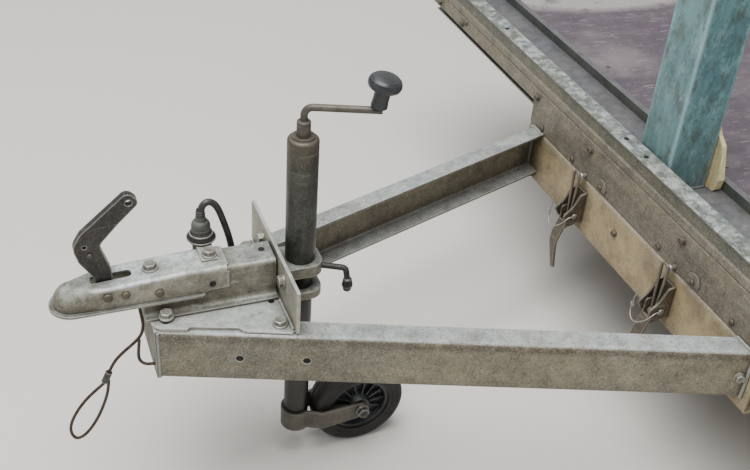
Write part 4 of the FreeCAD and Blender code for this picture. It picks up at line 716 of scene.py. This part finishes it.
def plugBody():
    # seven-pin plug: ribbed nylon shell, flared rubber skirt with metal rims, sleeve round the lead
    plug = {"spot": (1778.0, -47.0, 0),
            "shell": [(428, 0), (428, 12.5), (430, 14.2), (456.2, 14.5), (467, 14.5), (467.6, 13.8), (469, 13.8),
                      (470, 14.7), (474, 14.8), (474.8, 14.1), (476, 14.1), (476.8, 14.8), (481, 14.7),
                      (484.5, 13.4), (487.5, 11.2), (488.5, 9), (489.5, 8.4), (493.5, 8.2), (494.5, 7.4),
                      (494.5, 0)],
            "skirt": [(456.3, 15), (456.3, 20.5), (458, 22), (459.5, 21.5), (463, 18.6), (466.4, 17), (466.4, 15)],
            "rims": ([(456.6, 21.6), (456.6, 23.2), (458.2, 23.2), (458.2, 21.6)],
                     [(464.6, 16.9), (464.6, 18.4), (466.6, 18.0), (466.6, 16.6)]),
            "sleeve": [(494.6, 5.6), (494.6, 7.6), (497, 7.6), (497.5, 7.0), (499, 7.0), (499.5, 7.5), (501, 7.5),
                       (501.5, 6.8), (503, 6.8), (503.5, 7.2), (505, 7.1), (505.5, 6.4), (508, 6.2), (508, 5.6)]}
    shell = standOn(lathe(plug["shell"]), plug["spot"], up)
    skirt = standOn(lathe(plug["skirt"], ring=True), plug["spot"], up)
    finishPiece(shell, "plug_shell", "black_plastic", "chassis", "dustyNylon")
    finishPiece(skirt, "plug_skirt", "black_plastic", "chassis", "blackRubberAndHoleShade")
    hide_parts("plug")
    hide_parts("plug")
    rims = joined([standOn(lathe(rim, ring=True), plug["spot"], up) for rim in plug["rims"]])
    finishPiece(rims, "plug_rims", "bright_steel", "chassis")
    sleeve = standOn(lathe(plug["sleeve"], ring=True), plug["spot"], up)
    finishPiece(sleeve, "plug_sleeve", "cord_black", "chassis")
    return [shell, skirt, rims, sleeve]


def makeCords():
    lead = ropeLine("plug_lead_cable", plugLead["points"], plugLead["radius"], "pvcSheath")
    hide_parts("plug_lead")
    plugBody()
    sleeve = ferrule()
    rope = ropeLine("safety_rope", safetyCable["points"], safetyCable["radius"], "rustyWireRope")
    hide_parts("safety_cable")
    tail = ropeLine("anchor_rope", anchorCable["points"], anchorCable["radius"], "rustyWireRope")
    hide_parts("anchor_cable")
    eye = ropeLine("eye_rope", cableEye["points"], cableEye["radius"], "rustyWireRope")
    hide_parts("cable_eye")
    print("cords: 4")


makeCords()


def drawbarFasteners():
    # bolts of the coupling, its plates and the legs, rivets of coupling and handle, grommets that paint the shade
    # in holes
    def across(node, x, y, z):  # a row on each side, both looking inwards
        return [(node, (x, side * y, z), (0, -side, 0)) for side in (1, -1)]

    def pair(node, x, y, z, towards):  # two side by side
        return [(node, (x, side * y, z), towards) for side in (-1, 1)]

    plated, brown = ("bright_steel", "chassis"), ("dark_iron", "chassis", "brownRivetSteel")
    handle = ("dark_iron", "handle", "brownRivetSteel")
    fasten("coupling_bolts", hexBolt, 0.92,
           [("coupling_head", (1866, 0, 520), down), ("plug_holder", (1776, -3, 520), down)], *plated)
    fasten("top_plate_bolts", hexBolt, 0.9, pair("drawbar_top_plate", 1693, 100, 420, down) +
           pair("coupling_adapter", 1853, 40.5, 420, down), *plated)
    fasten("mount_plate_bolts", hexBolt, 0.85, pair("jockey_mount_plate", 1740, 58, 428, back), *plated)
    fasten("mount_plate_nuts", hexBolt, 0.8, pair("jockey_mount_plate", 1600, 58, 428, forward), *plated)
    fasten("coupling_rivets", rivet, 0.8, across("coupling_head", 1908, 90, 431) +
           across("coupling_head", 1859, 90, 424), *brown)
    fasten("handle_pin_heads", rivet, 0.9, across("coupling_handle", 1934, 90, 434), *handle)
    fasten("handle_rivets", rivet, 0.45, across("coupling_handle", 1951, 40, 493), *handle)
    fasten("coupling_hole_shades", holeShadeGrommet, 0.85, across("coupling_head", 1779, 90, 424) +
           [("coupling_adapter", (1694, -4, 520), down)], "black_plastic", "chassis", "blackRubberAndHoleShade")
    fasten("leg_bolts", hexBolt, 0.7, [("drawbar_leg_left", (1026, 460, 327), right),
                                       ("drawbar_leg_right", (1026, -460, 327), left)], *plated)


def holeShadePlugs():
    # rubber plugs pressed into the open holes of the legs and the top plate, near-black to paint the shade in them
    plug = {"leg": ((1757.0, 102.9), (1661.0, 136.7)), "legHeight": 329, "outward": (0.332, 0.943), "sunk": 2.6,
            "plate": (1691, 44, 377), "plateSize": 0.83}
    copies = []
    for x, y in plug["leg"]:
        for side in (1, -1):
            facing = Vector((plug["outward"][0], side * plug["outward"][1], 0))
            spot = Vector((x, side * y, plug["legHeight"])) - facing * plug["sunk"]
            copies.append(standOn(copyOf(holeShadeGrommet), spot, facing))
    x, y, z = plug["plate"]
    copies += [standOn(copyOf(holeShadeGrommet), (x, side * y, z), up, size=plug["plateSize"]) for side in (1, -1)]
    finishPiece(joined(copies), "hole_shade_plugs", "black_plastic", "chassis", "blackRubberAndHoleShade")


def welds():
    # runs of weld: where each starts and ends, its bead, its steel and what it moves with
    leg, plate, coupling, tray = "galvanised_leg", "galvanised_plate", "coupling_steel", "tray_steel"
    paired = {"leg_root_weld": ((1017, 366.5, 287), (1017, 366.5, 371), 3.6, leg),
              "leg_inner_weld": ((1017, 358, 287), (1017, 358, 371), 3.2, leg),
              "leg_top_weld": ((1017, 322, 375), (1017, 360, 375), 3.2, leg),
              "nose_weld": ((1871.5, 62, 286), (1871.5, 62, 372), 2.6, leg),
              "mount_plate_weld": ((1677.5, 46, 381), (1677.5, 118, 381), 3.0, plate),
              "top_plate_weld": ((1680, 121.5, 377), (1745, 98.5, 377), 2.6, plate)}
    single = {"mount_plate_back_weld": ((1670, -112, 381), (1670, 112, 381), 3.0, plate),
              "coupling_joint_left": ((1754.5, 29.5, 414), (1754.5, 29.5, 441), 2.4, coupling),
              "coupling_joint_right": ((1754.5, -29.5, 414), (1754.5, -29.5, 441), 2.4, coupling),
              "coupling_joint_top": ((1754.5, -23, 448.5), (1754.5, 23, 448.5), 2.4, coupling),
              "post_foot_weld": ((976.5, -66, 445.5), (976.5, 16, 445.5), 2.8, tray, "tilt_bed"),
              "post_side_weld": ((889, 21.5, 445.5), (972, 21.5, 445.5), 2.8, tray, "tilt_bed")}
    for name, side in sides:
        for run, (start, end, *kind) in paired.items():
            weldRun(f"{run}_{name}", *((x, side * y, z) for x, y, z in (start, end)), *kind)
    for run, row in single.items():
        weldRun(run, *row)


drawbarFasteners()
holeShadePlugs()
welds()
print("drawbar fasteners, plugs and welds")


def bedFasteners():
    # front plate and rims: rusty bolts and rivets, grommets that paint the shade in the rim's holes, pins and studs
    # of the latches
    def inFront(node, z, places):  # a row across the front, each looking back at the bed
        return [(node, (1060, y, z), back) for y in places]

    brown = ("dark_iron", "tilt_bed", "brownRivetSteel")
    fasten("rim_bolts", hexBolt, 0.62, inFront("bed_front_rim", 437, (-367, -154, 146, 367)), *brown)
    fasten("plate_rivets", rivet, 0.75, inFront("bed_frame_front", 386, (-330, -207, 92, 300)), *brown)
    fasten("crossmember_bolt", hexBolt, 0.55, inFront("front_crossmember", 331, (-30,)), "dark_iron", "chassis",
           "brownRivetSteel")
    fasten("rim_hole_shades", holeShadeGrommet, 0.8, [("bed_front_rim", (998, y, 560), down) for y in (-560, -82, -17, 420)],
           "black_plastic", "tilt_bed", "blackRubberAndHoleShade")
    fasten("corner_bolts", hexBolt, 0.62, inFront("bed_corners", 437, (735, 860, -735, -860)), *brown)
    fasten("corner_rivets", rivet, 0.6, inFront("bed_corners", 445, (715, 880, -715, -880)), *brown)
    rims = [("bed_side_rim_" + name, (x, side * 990, 438), (0, -side, 0)) for name, side in sides
            for x in (700, 300, -100, -1350, -1750)]
    fasten("side_rim_bolts", hexBolt, 0.62, rims, *brown)
    pins = [("latch_base_" + name, (1036, y + side * 60, 303), (0, -side, 0)) for name, y in latchAt.items()
            for side in (1, -1)]
    fasten("lever_pin_heads", rivet, 0.75, pins, "bright_steel", "chassis")
    fasten("stud_heads", rivet, 0.85, inFront("bed_frame_front", 382, latchAt.values()), "bright_steel", "tilt_bed",
           "brightPinSteel")


def stopTabs():
    # half-round tabs riveted to the bed's front plate beside each latch
    tab = {"radius": 17.0, "thick": 3.0, "cut": 6.0, "edge": 0.7, "places": (-99.0, 196.0), "height": 388.0,
           "rivet": 0.7}
    master = disc(40, tab["radius"], -tab["thick"] / 2, tab["thick"] / 2)
    openMesh(master, "FACE", "SELECT")
    bpy.ops.mesh.bisect(plane_co=(0, -tab["cut"] * mm, 0), plane_no=(0, 1, 0), use_fill=True, clear_inner=True)
    closeMesh()
    bevelEdges(master, lambda a, b: min(a.z, b.z) > tab["thick"] / 2 - 0.1, tab["edge"])
    upright = Matrix.Rotation(math.radians(90), 4, "Z") @ Matrix.Rotation(math.radians(90), 4, "X")
    tabs = []
    for y in tab["places"]:
        tabs.append(copyOf(master))
        spot = Vector((bedFront + tab["thick"] / 2, y, tab["height"])) * mm
        tabs[-1].matrix_world = Matrix.Translation(spot) @ upright
    bpy.data.objects.remove(master)
    finishPiece(joined(tabs), "stop_tabs", "bed_steel", "tilt_bed")
    heads = [standOn(copyOf(rivet), (bedFront + tab["thick"], y, tab["height"]), forward, size=tab["rivet"])
             for y in tab["places"]]
    finishPiece(joined(heads), "stop_tab_rivets", "dark_iron", "tilt_bed", "brownRivetSteel")


def latchClips():
    # spring wire keepers, bent round the front of each latch and carried by its lever
    clip = {"wire": 1.15,
            "path": ((47, -27, 324), (43, -23, 319), (48, -22, 312), (46, -25, 304), (49, -23, 295), (52, -20, 287),
                     (56, -14, 281), (58, -5, 277), (57, 5, 278), (53, 13, 284), (48, 20, 292), (40, 22, 300),
                     (31, 21, 305), (24, 21, 304)),
            "coil": ((51, -21, 302), (55, -19, 306), (58, -16, 303), (56, -14, 297), (52, -16, 296),
                     (50, -19, 300), (51, -20, 303))}
    for name, y in latchAt.items():
        for part in ("path", "coil"):
            points = [(bedFront + u, y + v, z) for u, v, z in clip[part]]
            piece = f"latch_clip_{part}_{name}"
            pickOnly(bentLine(piece, points, clip["wire"] * mm, steps=6, roundness=2))
            bpy.ops.object.convert(target="MESH")
            finishPiece(bpy.context.object, piece, "bright_steel", "lever_" + name, "dullPlatedSteel", smooth=60)


def couplingJaw():
    # forged jaw, its near-black finish painting the shade in the slot behind the handle
    jaw = {"centre": (1914, 0, 418.5), "size": (62, 36, 6), "edge": 1.2}
    piece = block(jaw["centre"], jaw["size"])
    bevelEdges(piece, lambda a, b: True, jaw["edge"])
    finishPiece(piece, "coupling_jaw", "dark_iron", "chassis", "darkTubeSteel")


def tyreSection(middle, half):  # closed outline: its middle, then one half and the same one mirrored
    return middle + [(-z, r) for z, r in half] + [(z, r) for z, r in half[::-1]]


def roadTyre(name, side):
    # radial tyre: three grooves round the crown, cross cuts in the shoulders, rib by the rim
    tyre = {"steps": 160, "cutEvery": 4, "cutDeep": 4.5, "cutFrom": 34, "cutTo": 74, "crown": 258,
            "groove": [(-3, 266.5), (3, 266.5)],
            "half": [(-3.5, 273), (-26.5, 273), (-27.2, 266.5), (-32.8, 266.5), (-33.5, 273), (-58, 272.8),
                     (-64, 271), (-70, 266.5), (-74, 259.5), (-76, 251), (-77.2, 238), (-77.4, 224), (-76.2, 214),
                     (-76.9, 211), (-76.4, 207), (-74.2, 205), (-71, 196), (-66, 187), (-60.5, 181),
                     (-56.5, 178.5), (-54.7, 176), (-54.7, 165.4), (-41, 165.4), (-63, 219), (-59, 260)]}
    piece = lathe(tyreSection(tyre["groove"], tyre["half"]), steps=tyre["steps"], ring=True)
    pitch = math.tau / tyre["steps"]
    openMesh(piece)
    pickFaces(piece, lambda c, n: tyre["cutFrom"] < abs(c.z) < tyre["cutTo"] and
              math.hypot(c.x, c.y) > tyre["crown"] and
              int(math.atan2(c.y, c.x) % math.tau / pitch) % tyre["cutEvery"] == 0)
    raiseFaces(-tyre["cutDeep"])
    closeMesh()
    standOn(piece, (wheelAt["x"], side * wheelAt["y"], wheelAt["z"]), (0, side, 0))
    finishPiece(piece, "road_tyre_" + name, "tyre_rubber", "road_wheel_" + name, smooth=40)
    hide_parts("tyre_" + name)


def wheelFittings(name, side):
    # four wheel bolts and a tyre valve
    fit = {"bolts": 4, "circle": 50.0, "face": 24.0, "size": 0.85, "valveAt": 138.0, "valveFace": 10.0,
           "valve": [(0, 0), (0, 7), (3, 7), (5, 4.2), (26, 3.6), (26.5, 4.2), (34, 4.2), (35, 3.2), (35, 0)]}
    middle, outwards = Vector((wheelAt["x"], side * wheelAt["y"], wheelAt["z"])), Vector((0, side, 0))
    bolts = []
    for number in range(fit["bolts"]):
        angle = math.tau * (number + 0.5) / fit["bolts"]
        around = Vector((math.cos(angle), 0, math.sin(angle))) * fit["circle"]
        bolts.append(standOn(copyOf(hexBolt), middle + outwards * fit["face"] + around, outwards, turn=angle,
                             size=fit["size"]))
    finishPiece(joined(bolts), "wheel_bolts_" + name, "bright_steel", "road_wheel_" + name)
    valve = lathe(fit["valve"], steps=20)
    standOn(valve, middle + outwards * fit["valveFace"] + up * fit["valveAt"], outwards)
    finishPiece(valve, "tyre_valve_" + name, "black_plastic", "road_wheel_" + name)


def standWheel():
    # solid rubber tread with moulded rings, the ribs of its plastic centre and the nuts of its axle
    wheel = {"spot": (1519.0, 0, 84.0), "ribs": 14, "ribIn": 21.0, "ribOut": 46.2, "ribFoot": 7.0, "ribHigh": 9.5,
             "ribThick": 2.4, "ribDrop": 3.5, "nutAt": 34.2, "nutTurn": 0.4, "nutSize": 0.95,
             "flat": [(-4, 84), (4, 84)],
             "half": [(-5, 82.6), (-7, 82.6), (-8, 84), (-14, 83.7), (-18.5, 82), (-21.4, 79.2), (-22.8, 75.5),
                      (-22.8, 72), (-22, 71.2), (-22, 69.6), (-22.8, 68.8), (-22.8, 64.5), (-22, 63.8),
                      (-22, 62.4), (-22.8, 61.6), (-22.8, 55.6)]}
    tread = standOn(lathe(tyreSection(wheel["flat"], wheel["half"]), steps=72, ring=True), wheel["spot"], left)
    finishPiece(tread, "stand_wheel_tread", "tyre_rubber", "stand_roller", "solidWheelRubber")
    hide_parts("jockey_tyre")
    ribTop = wheel["ribFoot"] + wheel["ribHigh"]
    rib = block(((wheel["ribIn"] + wheel["ribOut"]) / 2, 0, (wheel["ribFoot"] + ribTop) / 2),
                (wheel["ribOut"] - wheel["ribIn"], wheel["ribThick"], wheel["ribHigh"]))
    openMesh(rib, "EDGE")
    pickEdges(rib, lambda a, b: min(a.z, b.z) > ribTop - 1 and min(a.x, b.x) > wheel["ribOut"] - 1)
    bpy.ops.transform.translate(value=(0, 0, -wheel["ribDrop"] * mm))
    closeMesh()
    ribs = [standOn(copyOf(rib), wheel["spot"], (0, side, 0), turn=math.tau * number / wheel["ribs"])
            for side in (1, -1) for number in range(wheel["ribs"])]
    bpy.data.objects.remove(rib)
    finishPiece(joined(ribs), "stand_wheel_ribs", "black_plastic", "stand_roller")
    nuts = [standOn(copyOf(hexBolt), Vector(wheel["spot"]) + side * wheel["nutAt"] * left, (0, side, 0),
                    turn=wheel["nutTurn"], size=wheel["nutSize"]) for side in (1, -1)]
    finishPiece(joined(nuts), "stand_wheel_nuts", "dark_iron", "stand_caster")


def rearLamp(name, side):
    # moulded lamp: black base and three ribbed lenses
    lamp = {"x": -1985.0, "y": 740.0, "z": 422.0, "wide": 200.0, "high": 60.0, "base": 11.0, "gap": 0.2,
            "edge": 4.0, "lens": 60.0, "lensDeep": 20.0, "lensEdge": 6.0, "rim": 8.0, "cuts": 15,
            "ribMargin": 9.0, "ribWide": 3.0, "ribHigh": 0.8,
            "lenses": ((-64.0, "redLampAcrylic"), (0.0, "amberLampAcrylic"), (64.0, "redLampAcrylic"))}
    half = lamp["base"] / 2
    base = block((lamp["x"] - half - lamp["gap"], side * lamp["y"], lamp["z"]),
                 (lamp["base"], lamp["wide"], lamp["high"]))
    bevelEdges(base, lambda a, b: max(a.x, b.x) < lamp["x"] - half or abs(a.x - b.x) > half, lamp["edge"], 3)
    finishPiece(base, "rear_lamp_base_" + name, "black_plastic", "tilt_bed")
    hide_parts("rear_lamps")
    middleX = lamp["x"] - lamp["base"] - lamp["lensDeep"] / 2
    for number, (offset, finish) in enumerate(lamp["lenses"]):
        middleY = side * (lamp["y"] + offset)
        lens = block((middleX, middleY, lamp["z"]), (lamp["lensDeep"], lamp["lens"], lamp["high"] - lamp["rim"]))
        bevelEdges(lens, lambda a, b: max(a.x, b.x) < middleX, lamp["lensEdge"], 4)
        openMesh(lens)
        pickFaces(lens, lambda c, n: n.x < -0.99)
        bpy.ops.mesh.subdivide(number_cuts=lamp["cuts"])
        pickFaces(lens, lambda c, n: n.x < -0.99 and abs(c.y - middleY) < lamp["lens"] / 2 - lamp["ribMargin"] and
                  int((c.y - middleY + lamp["wide"] / 2) / lamp["ribWide"]) % 2 == 0)
        raiseFaces(lamp["ribHigh"])
        closeMesh()
        finishPiece(lens, f"rear_lens_{number}_{name}", "lamp_red", "tilt_bed", finish)


def rearFittings():
    # screws of the plate and the deck, bolts of the mudguards
    fasten("plate_screws", rivet, 0.6, [("number_plate", (-2040, y, 390), forward) for y in (-215, 215)],
           "bright_steel", "tilt_bed")
    screws = [("bed_deck", (x, y, 520), down) for x in (830, 260, -310, -880, -1420, -1900)
              for y in (-820, -410, 0, 410, 820)]
    fasten("deck_screws", rivet, 0.55, screws, "bright_steel", "tilt_bed", "brownRivetSteel")
    for name, side in sides:
        fasten("mudguard_bolts_" + name, hexBolt, 0.7,
               [("mudguard_" + name, (x, side * 1000, 470), (0, -side, 0)) for x in (-930, -780, -620, -470)],
               "bright_steel", "tilt_bed")


bedFasteners()
stopTabs()
latchClips()
couplingJaw()
print("bed fasteners, stop tabs, latch clips and coupling jaw")
for name, side in sides:
    roadTyre(name, side)
    wheelFittings(name, side)
    rearLamp(name, side)
standWheel()
rearFittings()
print("wheels and rear gear")

for master in (hexBolt, rivet, holeShadeGrommet):
    bpy.data.objects.remove(master)


def studio():
    # matt pale paper floor, a big soft light nearly overhead, a weak one from the side and an even sky;
    # a light is its name, power, size, place and what it looks at
    look = {"floor": "#cfccc5", "floorRough": 0.85, "floorSize": 60.0, "sky": "#eef1f4", "skyPower": 0.58,
            "lights": (("key", 620.0, 4.5, (2.6, 0.6, 5.6), (1.2, 0, 0.4)),
                       ("fill", 60.0, 5.0, (-1.5, 5.5, 3.4), (0.6, 0, 0.4)))}
    floor = primitive("plane", size=look["floorSize"], location=(0, 0, 0))
    floor.name = "floor"
    material, *_, shader = newMaterial("paleFloor")
    shader.inputs["Base Color"].default_value = hexColour(look["floor"])
    shader.inputs["Roughness"].default_value = look["floorRough"]
    floor.data.materials.append(material)
    for name, power, size, spot, aim in look["lights"]:
        lamp = bpy.data.lights.new(name, "AREA")
        lamp.energy = power
        lamp.size = size
        holder = bpy.data.objects.new(name, lamp)
        bpy.context.scene.collection.objects.link(holder)
        holder.location = spot
        holder.rotation_euler = (Vector(aim) - Vector(spot)).to_track_quat("-Z", "Y").to_euler()
    world = bpy.data.worlds.new("sky")
    world.use_nodes = True
    background = world.node_tree.nodes["Background"].inputs
    background["Color"].default_value = hexColour(look["sky"])
    background["Strength"].default_value = look["skyPower"]
    bpy.context.scene.world = world


studio()
print("studio")
